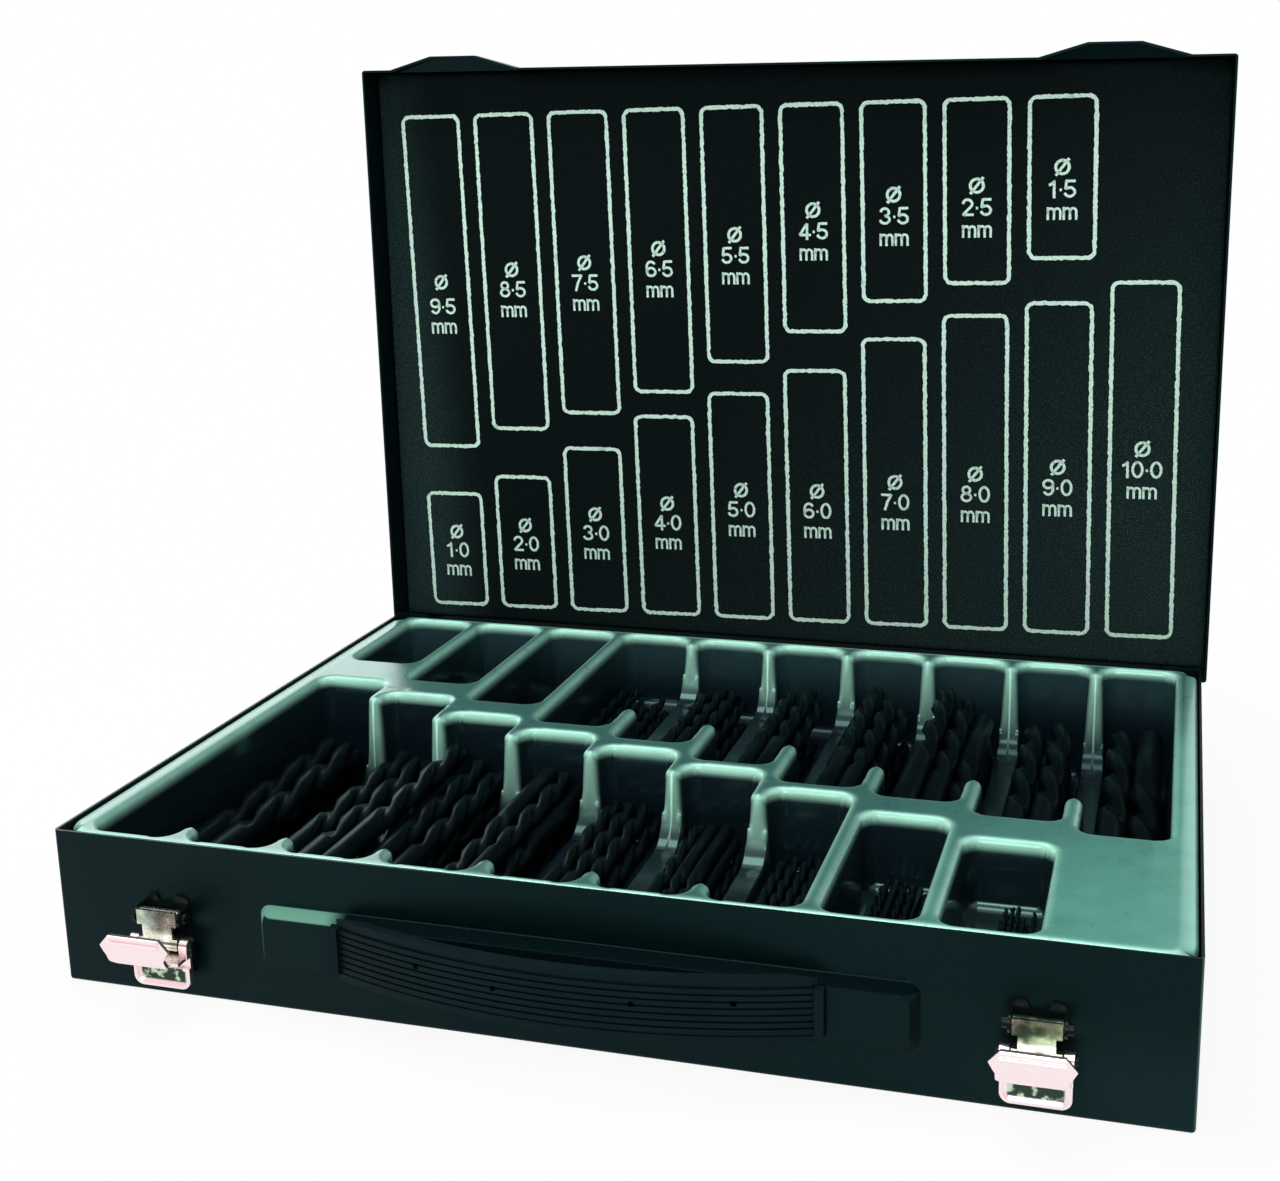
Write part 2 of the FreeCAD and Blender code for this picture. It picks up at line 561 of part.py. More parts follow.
def strap_band(name, z, outer, inner):
    """A bowed band between two radii about the strap's bend centre, which lies inside the case."""
    mid = "%s - strap_mid_w" % front
    discs = []
    for part, radius, grow in (("outer", outer, "0"), ("inner", inner, "1")):
        disc = made("Part::Cylinder", "%s_%s" % (name, part))
        bind(disc, Radius=radius, Height="(%s) - (%s) + 2 * (%s)" % (z[1], z[0], grow),
             Placement__Base__x="hardware_shift", Placement__Base__y=mid,
             Placement__Base__z="%s - (%s)" % (z[0], grow))
        discs.append(disc)
    ring = cut(name + "_ring", discs[0], [discs[1]])
    keep = box(name + "_span", ("hardware_shift - strap_length / 2", "hardware_shift + strap_length / 2"),
               ("%s - boss_rise - strap_bow - 1" % front, "%s - boss_rise - tongue_gap" % front),
               ("%s - 1" % z[0], "%s + 1" % z[1]))
    return common(name, ring, keep)


RIDGE_SHARE = 0.68      # how much of the ridge pitch is ridge, the rest being groove
strap_z = ("strap_bottom", "strap_bottom + strap_height")
strap_parts = [strap_band("strap_body", strap_z, "strap_radius - strap_ridge",
                          "strap_radius - strap_ridge - strap_thick")]
for index in range(int(size("strap_ridge_count"))):
    low = "strap_bottom + strap_margin + ridge_pitch * %s" % (index + (1 - RIDGE_SHARE) / 2)
    high = "%s + ridge_pitch * %s" % (low, RIDGE_SHARE)
    strap_parts.append(strap_band("strap_ridge_%d" % index, (low, high),
                                  "strap_radius", "strap_radius - strap_ridge - strap_thick / 2"))
for name, z in (("strap_foot_band", (strap_z[0], "%s + strap_band" % strap_z[0])),
                ("strap_head_band", ("%s - strap_band" % strap_z[1], strap_z[1]))):
    strap_parts.append(strap_band(name, z, "strap_radius - strap_ridge / 2",
                                  "strap_radius - strap_ridge - strap_thick / 2"))
for side, sign in (("left", "-"), ("right", "+")):
    middle = "hardware_shift %s (strap_length / 2 - tongue / 2)" % sign
    inward = ("%s - tongue / 2" % middle, "%s + tongue / 2 + tongue" % middle) if sign == "-" else \
        ("%s - tongue / 2 - tongue" % middle, "%s + tongue / 2" % middle)
    strap_parts.append(box("tongue_" + side, ("%s - tongue / 2" % middle, "%s + tongue / 2" % middle),
                           ("%s - boss_rise - strap_thick" % front, "%s + 0.5 - steel" % front), tongue_z))
    strap_parts.append(box("barb_" + side, inward,
                           ("%s - boss_rise + steel + tongue_gap" % front, "%s + 0.5 - steel" % front),
                           tongue_z))
piece(fuse("handle_strap", strap_parts), "handle_strap")


# ---------------------------------------------------------------- latches
# Each is drawn about its own middle with the wall's face at y = 0, then placed on the front wall.

def on_wall(thing, latch_x):
    return bind(thing, Placement__Base__x=latch_x, Placement__Base__y=front)


DRAWN = 30.0        # reach of an outline as first drawn, before its formulas place it


def corner(name, sign, y, points):
    """A flat-sided block along Y whose outline is given by formulas, mirrored for the left side."""
    body = doc.addObject("PartDesign::Body", name)
    sketch = body.newObject("Sketcher::SketchObject", name + "_outline")
    support = [item for item in body.Origin.OriginFeatures if item.Role == "XZ_Plane"][0]
    sketch.AttachmentSupport = [(support, "")]
    sketch.MapMode = "FlatFace"
    bind(sketch, AttachmentOffset__Base__z="-(%s)" % y[0])
    count = len(points)
    for index in range(count):
        turn = 2 * math.pi / count
        ends = [Vector(DRAWN * math.cos(turn * (index + step)), DRAWN * math.sin(turn * (index + step)), 0)
                for step in (0, 1)]
        sketch.addGeometry(Part.LineSegment(*ends), False)
    for index in range(count):
        sketch.addConstraint(Sketcher.Constraint("Coincident", index, 2, (index + 1) % count, 1))
    for index, (x, z) in enumerate(points):
        for kind, formula in (("DistanceX", "%s(%s)" % (sign, x)), ("DistanceY", z)):
            number = sketch.addConstraint(Sketcher.Constraint(kind, -1, 1, index, 1, 1.0))
            sketch.setExpression("Constraints[%d]" % number, linked(formula))
    doc.recompute()
    pad = body.newObject("PartDesign::Pad", name + "_pad")
    pad.Profile = sketch
    pad.Reversed = True
    bind(pad, Length="(%s) - (%s)" % (y[1], y[0]))
    return body


def latch(side, latch_x):
    def named(part):
        return "%s_%s" % (side, part)

    def across(width):
        return ("-(%s) / 2" % width, "(%s) / 2" % width)

    def out(near, far):
        return ("-(%s)" % far, "-(%s)" % near)

    # Bracket: a back plate with a notched upper edge, and two ears that hold the lever pin.
    plate = rounded(named("bracket_plate"), box(named("bracket_blank"), across("bracket_width"),
                                                out("0", "bracket"), ("bracket_bottom", "bracket_top")),
                    size("bracket_corner"),
                    lambda mid, run: abs(run.y) > 0.9 and mid.z > size("lever_pin_up"))
    ears = [plate]
    for sign, part in (("-", "a"), ("+", "b")):
        ear_x = ["%s (bracket_width / 2)" % sign, "%s (bracket_width / 2 - bracket)" % sign]
        ear_x = ear_x if sign == "-" else ear_x[::-1]
        ears.append(box(named("ear_root_" + part), ear_x, out("0", "lever_pin_out"),
                        ("lever_pin_up - ear_radius", "lever_pin_up + ear_radius")))
        ears.append(rod(named("ear_round_" + part), ear_x, "-lever_pin_out", "lever_pin_up",
                        "ear_radius"))
    holes = [stud(named("notch"), "0", out("-1", "bracket + 1"), "bracket_top", "notch_radius"),
             rod(named("ear_hole"), across("bracket_width + 2"), "-lever_pin_out", "lever_pin_up",
                 "lever_pin_radius")]
    for sign, part in (("-", "a"), ("+", "b")):
        holes.append(stud(named("bracket_hole_" + part), sign + "rivet_spread", out("-1", "bracket + 1"),
                          RIVET_UP, "rivet_radius"))
    bracket = cut(named("bracket"), fuse(named("bracket_solid"), ears), holes)
    on_wall(piece(bracket, named("bracket")), latch_x)

    # Rivets through bracket and wall, domed outside and flat inside.
    rivets = []
    for sign, part in (("-", "a"), ("+", "b")):
        x = sign + "rivet_spread"
        rivets.append(stud(named("rivet_shank_" + part), x, out("-steel", "bracket"), RIVET_UP,
                           "rivet_radius"))
        rivets.append(stud(named("rivet_dome_" + part), x, out("bracket", "bracket + rivet_dome"), RIVET_UP,
                           "rivet_head * 0.6", "rivet_head"))
        rivets.append(stud(named("rivet_foot_" + part), x, out("-steel - rivet_dome / 2", "-steel"), RIVET_UP,
                           "rivet_head"))
    on_wall(piece(fuse(named("rivets"), rivets), named("rivets")), latch_x)

    # Lever pin, headed outside each ear.
    pin = [rod(named("lever_pin_shank"), across("bracket_width"), "-lever_pin_out", "lever_pin_up",
               "lever_pin_radius")]
    for sign, part in (("-", "a"), ("+", "b")):
        ends = ["%s (bracket_width / 2 + lever_head)" % sign, "%s (bracket_width / 2)" % sign]
        pin.append(rod(named("lever_pin_head_" + part), ends if sign == "-" else ends[::-1],
                       "-lever_pin_out", "lever_pin_up", "lever_head_radius"))
    on_wall(piece(fuse(named("lever_pin"), pin), named("lever_pin")), latch_x)

    # Link: a waisted plate in front of both pins with a rolled knuckle on each.
    link_z = ("hook_pin_z", "lever_pin_up + link_crest")
    near = "lever_pin_out + lever_pin_radius + pin_fit"
    link = fuse(named("link_solid"), [
        box(named("link_plate"), across("link_width"), out(near, near + " + link_sheet"), link_z),
        rod(named("link_top"), across("link_width"), "-lever_pin_out", "lever_pin_up", "latch_knuckle"),
        rod(named("link_foot"), across("link_width"), "-hook_pin_w", "hook_pin_z", "latch_knuckle")])
    waist = []
    for sign, part in (("-", "a"), ("+", "b")):
        ends = ["%s (link_width / 2 + 1)" % sign, "%s (link_waist / 2)" % sign]
        waist.append(box(named("waist_" + part), ends if sign == "-" else ends[::-1],
                         out("0", "lever_pin_out + 3 * latch_knuckle"),
                         ("hook_pin_z + latch_knuckle", "lever_pin_up - latch_knuckle")))
    bores = [rod(named("link_bore"), across("link_width + 2"), "-lever_pin_out", "lever_pin_up",
                 "lever_pin_radius + pin_fit"),
             rod(named("link_foot_bore"), across("link_width + 2"), "-hook_pin_w", "hook_pin_z",
                 "hook_pin_radius + pin_fit")]
    on_wall(piece(cut(named("link"), link, waist + bores), named("link")), latch_x)

    # Hook: root plate, scoop with a rolled lip and pointed corners, cheeks, and a rimmed thumb plate.
    bend = cut(named("bend_ring"), rod(named("bend_outer"), across("tip_width"), "-bend_w", "bend_z",
                                       "scoop_radius"),
               [rod(named("bend_inner"), across("tip_width + 2"), "-bend_w", "bend_z",
                    "scoop_radius - hook_sheet")])
    quarter = common(named("bend"), bend, box(named("bend_quarter"), across("tip_width"),
                                              out("bend_w", "bend_w + scoop_radius"), ("root_z", "bend_z")))
    upright = box(named("lip_plate"), across("tip_width"),
                  out("bend_w + scoop_radius - hook_sheet", "bend_w + scoop_radius"), ("bend_z", "lip_z"))
    blank = fuse(named("scoop_blank"), [quarter, upright])
    middle = "bend_z + lip_height * 0.3"
    low_half = "plate_width / 2"
    shape_y = out("bend_w", "bend_w + scoop_radius + 1")
    trims = []
    for sign, part in (("-", "a"), ("+", "b")):
        trims.append(corner(named("tip_trim_" + part), sign, shape_y,
                            (("lip_width / 2", "lip_z"), ("tip_width / 2", middle),
                             ("tip_width / 2 + 1", middle), ("tip_width / 2 + 1", "lip_z + 1"),
                             ("lip_width / 2", "lip_z + 1"))))
        trims.append(corner(named("side_trim_" + part), sign, shape_y,
                            (("tip_width / 2", middle), (low_half, "bend_z - scoop_radius / 4"),
                             (low_half, "bend_z - scoop_radius * 0.62"),
                             ("plate_width / 3", "root_z"), ("plate_width / 3", "root_z - 1"),
                             ("tip_width / 2 + 1", "root_z - 1"), ("tip_width / 2 + 1", middle))))
    scoop = cut(named("scoop"), blank, trims)

    def round_foot(block, radius):
        """Rounds the lower corners of a block seen from the front."""
        half_way = size("root_z") - size("plate_length") / 2
        return rounded(block.Name + "_corners", block, radius,
                       lambda mid, run: abs(run.y) > 0.9 and mid.z < half_way)

    parts = [scoop,
             box(named("hook_root"), across("plate_width"), out("hook_pin_w - hook_sheet / 2", "bend_w"),
                 ("root_z", "root_z + hook_sheet")),
             round_foot(box(named("thumb_plate"), across("plate_width"),
                            out("hook_pin_w - hook_sheet / 2", "hook_pin_w + hook_sheet / 2"),
                            ("root_z - plate_length", "root_z + hook_sheet")), size("plate_corner"))]
    for drop, part in (("lip_roll", "a"), ("(lip_roll + lip_roll_pitch)", "b")):
        parts.append(rod(named("lip_roll_" + part), across("lip_width"), "-(bend_w + scoop_radius)",
                         "lip_z - " + drop, "lip_roll"))
    frame_y = out("hook_pin_w", "hook_pin_w + hook_sheet / 2 + plate_rim")
    rim_outside = round_foot(box(named("rim_outside"), across("plate_width"), frame_y,
                                 ("root_z - plate_length", "root_z - plate_length / 3")),
                             size("plate_corner"))
    rim_inside = round_foot(box(named("rim_inside"), across("plate_width - 2 * plate_rim"),
                                ("-(hook_pin_w + 2 * scoop_radius)", "-(hook_pin_w)"),
                                ("root_z - plate_length + plate_rim",
                                 "root_z - plate_length / 3 - plate_rim")),
                            size("plate_corner") - size("plate_rim"))
    parts.append(cut(named("thumb_rim"), rim_outside, [rim_inside]))
    for sign, part in (("-", "a"), ("+", "b")):
        ends = ["%s cheek_out" % sign, "%s cheek_in" % sign]
        ends = ends if sign == "-" else ends[::-1]
        parts.append(rod(named("cheek_" + part), ends, "-hook_pin_w", "hook_pin_z", "latch_knuckle"))
        parts.append(box(named("cheek_foot_" + part), ends,
                         out("hook_pin_w - hook_sheet / 2", "hook_pin_w + latch_knuckle"),
                         ("root_z", "hook_pin_z")))
    hook_bore = rod(named("hook_bore"), across("2 * cheek_out + 2"), "-hook_pin_w", "hook_pin_z",
                    "hook_pin_radius")
    on_wall(piece(cut(named("hook"), fuse(named("hook_solid"), parts), [hook_bore]), named("hook")), latch_x)

    # Hook pin, with a head outside each cheek.
    pin = [rod(named("hook_pin_shank"), across("2 * cheek_out"), "-hook_pin_w", "hook_pin_z",
               "hook_pin_radius")]
    for sign, part in (("-", "a"), ("+", "b")):
        ends = ["%s (cheek_out + hook_head)" % sign, "%s cheek_out" % sign]
        pin.append(rod(named("hook_pin_head_" + part), ends if sign == "-" else ends[::-1],
                       "-hook_pin_w", "hook_pin_z", "hook_head_radius"))
    on_wall(piece(fuse(named("hook_pin"), pin), named("hook_pin")), latch_x)


for side, latch_x in LATCHES.items():
    latch(side, latch_x)


# ---------------------------------------------------------------- loose drills

def drill(diameter, length):
    """One drill along +Y with its point at the far end."""
    radius = diameter / 2
    point = radius / math.tan(math.radians(size("drill_point") / 2))
    shank = Part.makeCylinder(radius, length - point, Vector(), Vector(0, 1, 0))
    tip = Part.makeCone(radius, radius * 0.04, point * 0.96, Vector(0, length - point, 0), Vector(0, 1, 0))
    return shank.fuse(tip).removeSplitter()


def scatter(number, seed):
    """A fixed, uneven number between -1 and 1 for each drill."""
    wave = math.sin(12.9898 * (number + 1) + 78.233 * seed) * 43758.5453
    return 2 * (wave - math.floor(wave)) - 1


def pile(count, diameter, gap, width):
    """Places across and up for a pile of drills: staggered rows, or three columns where rows are tight."""
    step = diameter + gap
    fit = int((width + gap) / step)
    spots = []
    if fit == 2 and count > 5:
        across = (width - diameter) / 2
        rise = math.sqrt(max(step ** 2 - across ** 2, 0))
        pitch = max(step, 2 * rise)
        for number in range(count):
            column, level = number % 3, number // 3
            spots.append(((column - 1) * across, level * pitch + (rise if column == 1 else 0)))
        return spots
    wide = max(2, min(fit, math.ceil(count * 0.55)))
    level = 0
    while len(spots) < count:
        in_row = wide - level % 2
        for place in range(min(in_row, count - len(spots))):
            spots.append(((place - (in_row - 1) / 2) * step, level * step * math.sqrt(3) / 2))
        level += 1
    return spots


def lot(tag, back, index, nominal):
    """The drills of one pocket, lying on its floor in staggered layers."""
    diameter = size("drill_diameter_" + tag)
    length = size("drill_length_" + tag)
    gap = size("drill_gap")
    small = diameter <= size("small_drill_limit") + gap
    count = int(size("small_drill_count" if small else "large_drill_count"))
    floor = size("deep_floor") + size("shallow_floor") * (LARGEST - nominal) / (LARGEST - SMALLEST)
    depth = size("tray_top") - floor
    lean = depth * math.tan(math.radians(size("pocket_draft")))
    half = size("pocket_width") / 2 - lean
    mouth = size("pocket_length_" + tag)
    y_front = (size("half_depth") - size("back_row_edge") - mouth) if back else \
        size("front_row_edge") - size("half_depth")
    y_mid = y_front + mouth / 2
    slack = max((mouth - 2 * lean - length) / 2 - 2 * gap, 0)
    y_slack = slack * 0.8
    x_mid = size("column_pitch") * (index - 4.5)
    drills = []
    spots = pile(count, diameter, gap, 2 * (half - gap))
    room = max(0, half - gap - diameter / 2 - max(abs(across) for across, _ in spots))
    for number, (x, z) in enumerate(spots):
        shape = drill(diameter, length)
        shape.translate(Vector(0, -length / 2, 0))
        if scatter(number, nominal + 0.5) > 0.55:
            shape.rotate(Vector(), Vector(0, 0, 1), 180)
        shape.translate(Vector(x_mid + x + scatter(index, nominal) * room * 0.7,
                               y_mid + scatter(number, nominal) * y_slack, floor + gap + diameter / 2 + z))
        drills.append(shape)
    return Part.makeCompound(drills)


for back, pockets in ((True, BACK_ROW), (False, FRONT_ROW)):
    for index, (nominal, _, _) in enumerate(pockets):
        tag = str(nominal).replace(".", "_")
        drills = doc.addObject("Part::Feature", "drills_" + tag)
        drills.Shape = lot(tag, back, index, nominal)
        piece(drills, "drills_" + tag)


# ---------------------------------------------------------------- check and write

doc.recompute()
for thing in doc.Objects:
    if "Invalid" in thing.State or "Error" in thing.State:
        raise RuntimeError("%s failed: %s" % (thing.Name, thing.State))
os.makedirs("parts", exist_ok=True)
for thing in pieces:
    shape = thing.Shape
    if shape.isNull() or not shape.isValid() or not shape.Solids:
        raise RuntimeError("%s has no valid shape" % thing.Label)
    print("%-18s %3d solids %10.1f mm3" % (thing.Label, len(shape.Solids), shape.Volume))
    shape.exportStep("parts/%s.step" % thing.Label)
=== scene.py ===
# %% [markdown]
# # A steel case of twist drills
# The case is a folded steel box with its lid leaning open. In the base sits one black tray, formed from
# a heated plastic sheet, with a pocket for every drill size. A foam liner printed with the pocket plan
# fills the lid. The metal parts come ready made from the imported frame. This lesson adds what they lack:
# paint, nickel and oxide finishes, the soft edges of the formed tray, the cells of the foam with its ink,
# and real flutes on the drills.

import math

import bpy
import numpy as np
from mathutils import Matrix, Vector


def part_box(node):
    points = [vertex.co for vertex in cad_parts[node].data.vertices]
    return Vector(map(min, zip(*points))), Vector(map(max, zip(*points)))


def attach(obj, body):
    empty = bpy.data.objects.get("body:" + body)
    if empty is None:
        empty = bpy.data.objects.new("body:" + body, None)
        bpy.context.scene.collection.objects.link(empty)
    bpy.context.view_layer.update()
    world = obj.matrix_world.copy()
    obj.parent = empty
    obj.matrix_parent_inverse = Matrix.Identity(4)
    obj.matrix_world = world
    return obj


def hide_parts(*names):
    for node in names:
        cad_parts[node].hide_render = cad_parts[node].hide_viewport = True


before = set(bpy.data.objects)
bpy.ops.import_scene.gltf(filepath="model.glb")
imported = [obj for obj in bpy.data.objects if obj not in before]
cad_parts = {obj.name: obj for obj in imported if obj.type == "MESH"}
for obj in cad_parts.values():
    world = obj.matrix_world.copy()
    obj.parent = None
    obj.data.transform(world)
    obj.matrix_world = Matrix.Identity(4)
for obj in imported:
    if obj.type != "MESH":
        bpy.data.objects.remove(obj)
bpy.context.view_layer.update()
MM = 0.001

# %% [markdown]
# ## A notation for finishes
# A shader is a sum: a base colour, plus some grain, times a mask. Written as nodes it takes a page, and
# written as an expression it takes a line. `Wire` holds the output of one node, and its operators add
# the Math nodes that an expression asks for. `Finish` holds the node tree, and its `add` makes any other
# node. Only values go through the operators. Colours are blended with a Mix node, because a Math node
# would turn them grey. Every finish is placed by the object's own coordinates, so it rides along when
# the lid or a latch moves.

# %% Wires and finishes
class Wire:
    """The output of one node, which can be added to, multiplied and compared."""

    def __init__(self, finish, socket):
        self.finish = finish
        self.socket = socket

    def maths(self, operation, *values):
        """A Math node on these values."""
        return self.finish.add("ShaderNodeMath", {"operation": operation}, dict(enumerate(values)))

    def __add__(self, other):
        return self.maths("ADD", self, other)

    def __radd__(self, other):
        return self.maths("ADD", other, self)

    def __sub__(self, other):
        return self.maths("SUBTRACT", self, other)

    def __rsub__(self, other):
        return self.maths("SUBTRACT", other, self)

    def __mul__(self, other):
        return self.maths("MULTIPLY", self, other)

    def __rmul__(self, other):
        return self.maths("MULTIPLY", other, self)

    def __gt__(self, other):
        return self.maths("GREATER_THAN", self, other)

    def ramp(self, low, high):
        """0 below low, 1 above high, and a soft step between."""
        return self.finish.add("ShaderNodeMapRange", {"interpolation_type": "SMOOTHSTEP"},
                               {"Value": self, "From Min": low, "From Max": high})


class Finish:
    """One material, with a short way to add its nodes."""

    def __init__(self, name):
        self.material = bpy.data.materials.new(name)
        self.material.use_nodes = True
        self.tree = self.material.node_tree
        self.tree.nodes.clear()
        self.place = self.add("ShaderNodeTexCoord", out="Object")

    def add(self, kind, settings=None, sockets=None, out=0):
        """A node with these settings and inputs, as the wire of one of its outputs."""
        node = self.tree.nodes.new(kind)
        for setting, value in (settings or {}).items():
            setattr(node, setting, value)
        for socket, value in (sockets or {}).items():
            if isinstance(value, Wire):
                self.tree.links.new(value.socket, node.inputs[socket])
            else:
                node.inputs[socket].default_value = value
        return Wire(self, node.outputs[out])

    def axis(self, letter):
        """The place on the piece along X, Y or Z, in metres."""
        return self.add("ShaderNodeSeparateXYZ", sockets={0: self.place}, out=letter)

    def stretched(self, factors):
        """The place on the piece with each axis multiplied by its factor."""
        return self.add("ShaderNodeVectorMath", {"operation": "MULTIPLY"}, {0: self.place, 1: factors})

    def noise(self, size_mm, detail=2.0, stretch=(1, 1, 1)):
        """Soft noise with lumps of about this size, from 0 to 1."""
        sockets = {"Vector": self.stretched(stretch), "Scale": 1 / (size_mm * MM), "Detail": detail}
        return self.add("ShaderNodeTexNoise", sockets=sockets)

    def blend(self, share, first, second):
        """Two colours mixed by a share from 0 to 1."""
        return self.add("ShaderNodeMix", {"data_type": "RGBA"}, {"Factor": share, 6: first, 7: second}, out=2)

    def bump(self, height, depth_mm, strength=1.0):
        """A normal tilted by a height from 0 to 1 that stands for this depth."""
        return self.add("ShaderNodeBump", sockets={"Strength": strength, "Distance": depth_mm * MM, "Height": height})

    def principled(self, **sockets):
        """A Principled shader, whose sockets are named with _ for each space."""
        named = {name.replace("_", " "): value for name, value in sockets.items()}
        return self.add("ShaderNodeBsdfPrincipled", sockets=named, out="BSDF")

    def finished(self, shader):
        """The material, once its last shader is linked to the output."""
        output = self.tree.nodes.new("ShaderNodeOutputMaterial")
        self.tree.links.new(shader.socket, output.inputs["Surface"])
        return self.material

    def surface(self, **sockets):
        """A finish that ends in one Principled shader."""
        return self.finished(self.principled(**sockets))


def rgb(red, green, blue):
    """An opaque colour."""
    return (red, green, blue, 1.0)


# %% [markdown]
# ## Camera
# The case is looked at from the right of its middle, from nearly the height of the open lid's top, with a
# normal lens at arm's length. The camera is placed from its bearing, tilt and roll instead of by a target
# point, so that each number can be checked on its own. The two shifts slide the view over the case.

# %% Camera
EYE = Vector((0.155266, -0.508343, 0.25629))
BEARING, TILT, ROLL = (math.radians(angle) for angle in (14.869, -12.469, -0.64))

ahead = Vector((-math.sin(BEARING) * math.cos(TILT), math.cos(BEARING) * math.cos(TILT), math.sin(TILT)))
level = Vector((math.cos(BEARING), math.sin(BEARING), 0))
above = level.cross(ahead)
right = level * math.cos(ROLL) + above * math.sin(ROLL)
up = above * math.cos(ROLL) - level * math.sin(ROLL)

lens = bpy.data.cameras.new("camera")
lens.sensor_fit = "HORIZONTAL"
lens.sensor_width = 36.0
lens.lens = 46.42
lens.shift_x = -0.0852
lens.shift_y = -0.0831
lens.clip_start = 0.01
camera = bpy.data.objects.new("camera", lens)
bpy.context.scene.collection.objects.link(camera)
camera.matrix_world = Matrix((
    (right.x, up.x, -ahead.x, EYE.x),
    (right.y, up.y, -ahead.y, EYE.y),
    (right.z, up.z, -ahead.z, EYE.z),
    (0, 0, 0, 1),
))
bpy.context.scene.camera = camera
print("camera at", [round(c, 3) for c in EYE])

# %% [markdown]
# ## Table, sky and lamps
# A black case shows mostly what it mirrors, so the surroundings matter more than the lamps. The sky is
# white where the camera or a glossy surface looks at it, and much dimmer as a light. The table is plain
# and pale. Where it is looked at, most of its brightness is its own, so that it reads white, and the rest
# is lit, so that the case still drops a soft shadow on it. Farther out all of it is its own. One large
# soft lamp hangs above, one stands to the left and behind, and a small one stands in front to catch the
# nickel and the handle.

# %% World
scene = bpy.context.scene
scene.view_settings.view_transform = "Standard"
world = bpy.data.worlds.new("studio")
scene.world = world
world.use_nodes = True
sky = world.node_tree
sky.nodes.clear()
sky_path = sky.nodes.new("ShaderNodeLightPath")
seen = sky_path.outputs["Is Camera Ray"]
for ray in ("Is Glossy Ray", "Is Transmission Ray"):
    either_ray = sky.nodes.new("ShaderNodeMath")
    either_ray.operation = "ADD"
    either_ray.use_clamp = True
    sky.links.new(seen, either_ray.inputs[0])
    sky.links.new(sky_path.outputs[ray], either_ray.inputs[1])
    seen = either_ray.outputs[0]
either = sky.nodes.new("ShaderNodeMixShader")
sky.links.new(seen, either.inputs["Fac"])
DIM_SKY, WHITE_SKY = (rgb(0.9, 1.0, 0.98), 0.32), (rgb(1, 1, 1), 1.0)
for place, (colour, strength) in enumerate((DIM_SKY, WHITE_SKY), start=1):
    background = sky.nodes.new("ShaderNodeBackground")
    background.inputs["Color"].default_value = colour
    background.inputs["Strength"].default_value = strength
    sky.links.new(background.outputs[0], either.inputs[place])
out = sky.nodes.new("ShaderNodeOutputWorld")
sky.links.new(either.outputs[0], out.inputs["Surface"])
print("sky:", len(sky.nodes), "nodes")


# %% Lamps
def soft_lamp(name, place, target, width, tall, watts):
    """A rectangular area lamp that looks from a place to a target."""
    lamp = bpy.data.lights.new(name, "AREA")
    lamp.shape = "RECTANGLE"
    lamp.size, lamp.size_y = width, tall
    lamp.energy = watts
    holder = bpy.data.objects.new(name, lamp)
    scene.collection.objects.link(holder)
    holder.location = place
    holder.rotation_euler = (Vector(target) - Vector(place)).to_track_quat("-Z", "Y").to_euler()


soft_lamp("lamp_above", (-0.28, -0.05, 1.10), (-0.28, -0.05, 0), 0.95, 0.60, 9.0)
soft_lamp("lamp_left_back", (-0.85, 0.75, 0.50), (-0.1, -0.1, 0.05), 0.9, 0.6, 3.7)
soft_lamp("lamp_front", (0.10, -1.10, 0.80), (0, 0, 0.12), 0.6, 0.4, 5.0)

# %% Table
table_finish = Finish("table_white")
from_middle = table_finish.add("ShaderNodeVectorMath", {"operation": "LENGTH"}, {0: table_finish.place}, out="Value")
far = from_middle.ramp(0.20, 0.45)  # metres from the middle of the case
glow = table_finish.add("ShaderNodeEmission", sockets={"Color": rgb(1, 1, 1), "Strength": 1.0})
camera_ray, glossy_ray, clear_ray = (table_finish.add("ShaderNodeLightPath", out=f"Is {kind} Ray")
                                     for kind in ("Camera", "Glossy", "Transmission"))
looked_at = (camera_ray + glossy_ray + clear_ray).ramp(0.0, 1.0)
own_light = looked_at * (0.92 + 0.08 * far)
paper = table_finish.add("ShaderNodeBsdfDiffuse", sockets={"Color": rgb(0.85, 0.85, 0.85)})
table_white = table_finish.finished(
    table_finish.add("ShaderNodeMixShader", sockets={"Fac": own_light, 1: paper, 2: glow}))

SPREAD, SUNK = 6.0, 0.0002
sheet = bpy.data.meshes.new("table")
corners = [(x * SPREAD, y * SPREAD, 0) for x, y in ((-1, -1), (1, -1), (1, 1), (-1, 1))]
sheet.from_pydata(corners, [], [(0, 1, 2, 3)])
sheet.materials.append(table_white)
table = bpy.data.objects.new("table", sheet)
table.location.z = -SUNK
scene.collection.objects.link(table)
print("table", 2 * SPREAD, "m across,", SUNK / MM, "mm below the case")

# %% [markdown]
# ## Paint on folded steel
# Cheap cases are dipped or sprayed in a near-black enamel. Seen close, such paint has a fine orange
# peel, gloss that wanders a little where the coat is thick or thin, and a dusting of specks. The
# orange peel is a bump, and the wandering gloss is a roughness, so the colour itself stays calm. The
# front of the case also carries a pressed field behind the handle. Its ledge is dull, except at the
# left end, which a painted highlight makes pale mint. A thin painted highlight runs down the fold at
# the right, and a painted sheen lightens the front's lower right. All these marks are found by their
# place on the case.

# %% Paints
# Where each mark begins and is whole, in metres: forward, up or to the left on the base.
FIELD_FRONT, FIELD_TOP, FIELD_LEFT = (0.1144, 0.1147), (0.0308, 0.0316), (0.0960, 0.0972)
HIGHLIGHT_END = (0.070, 0.078)


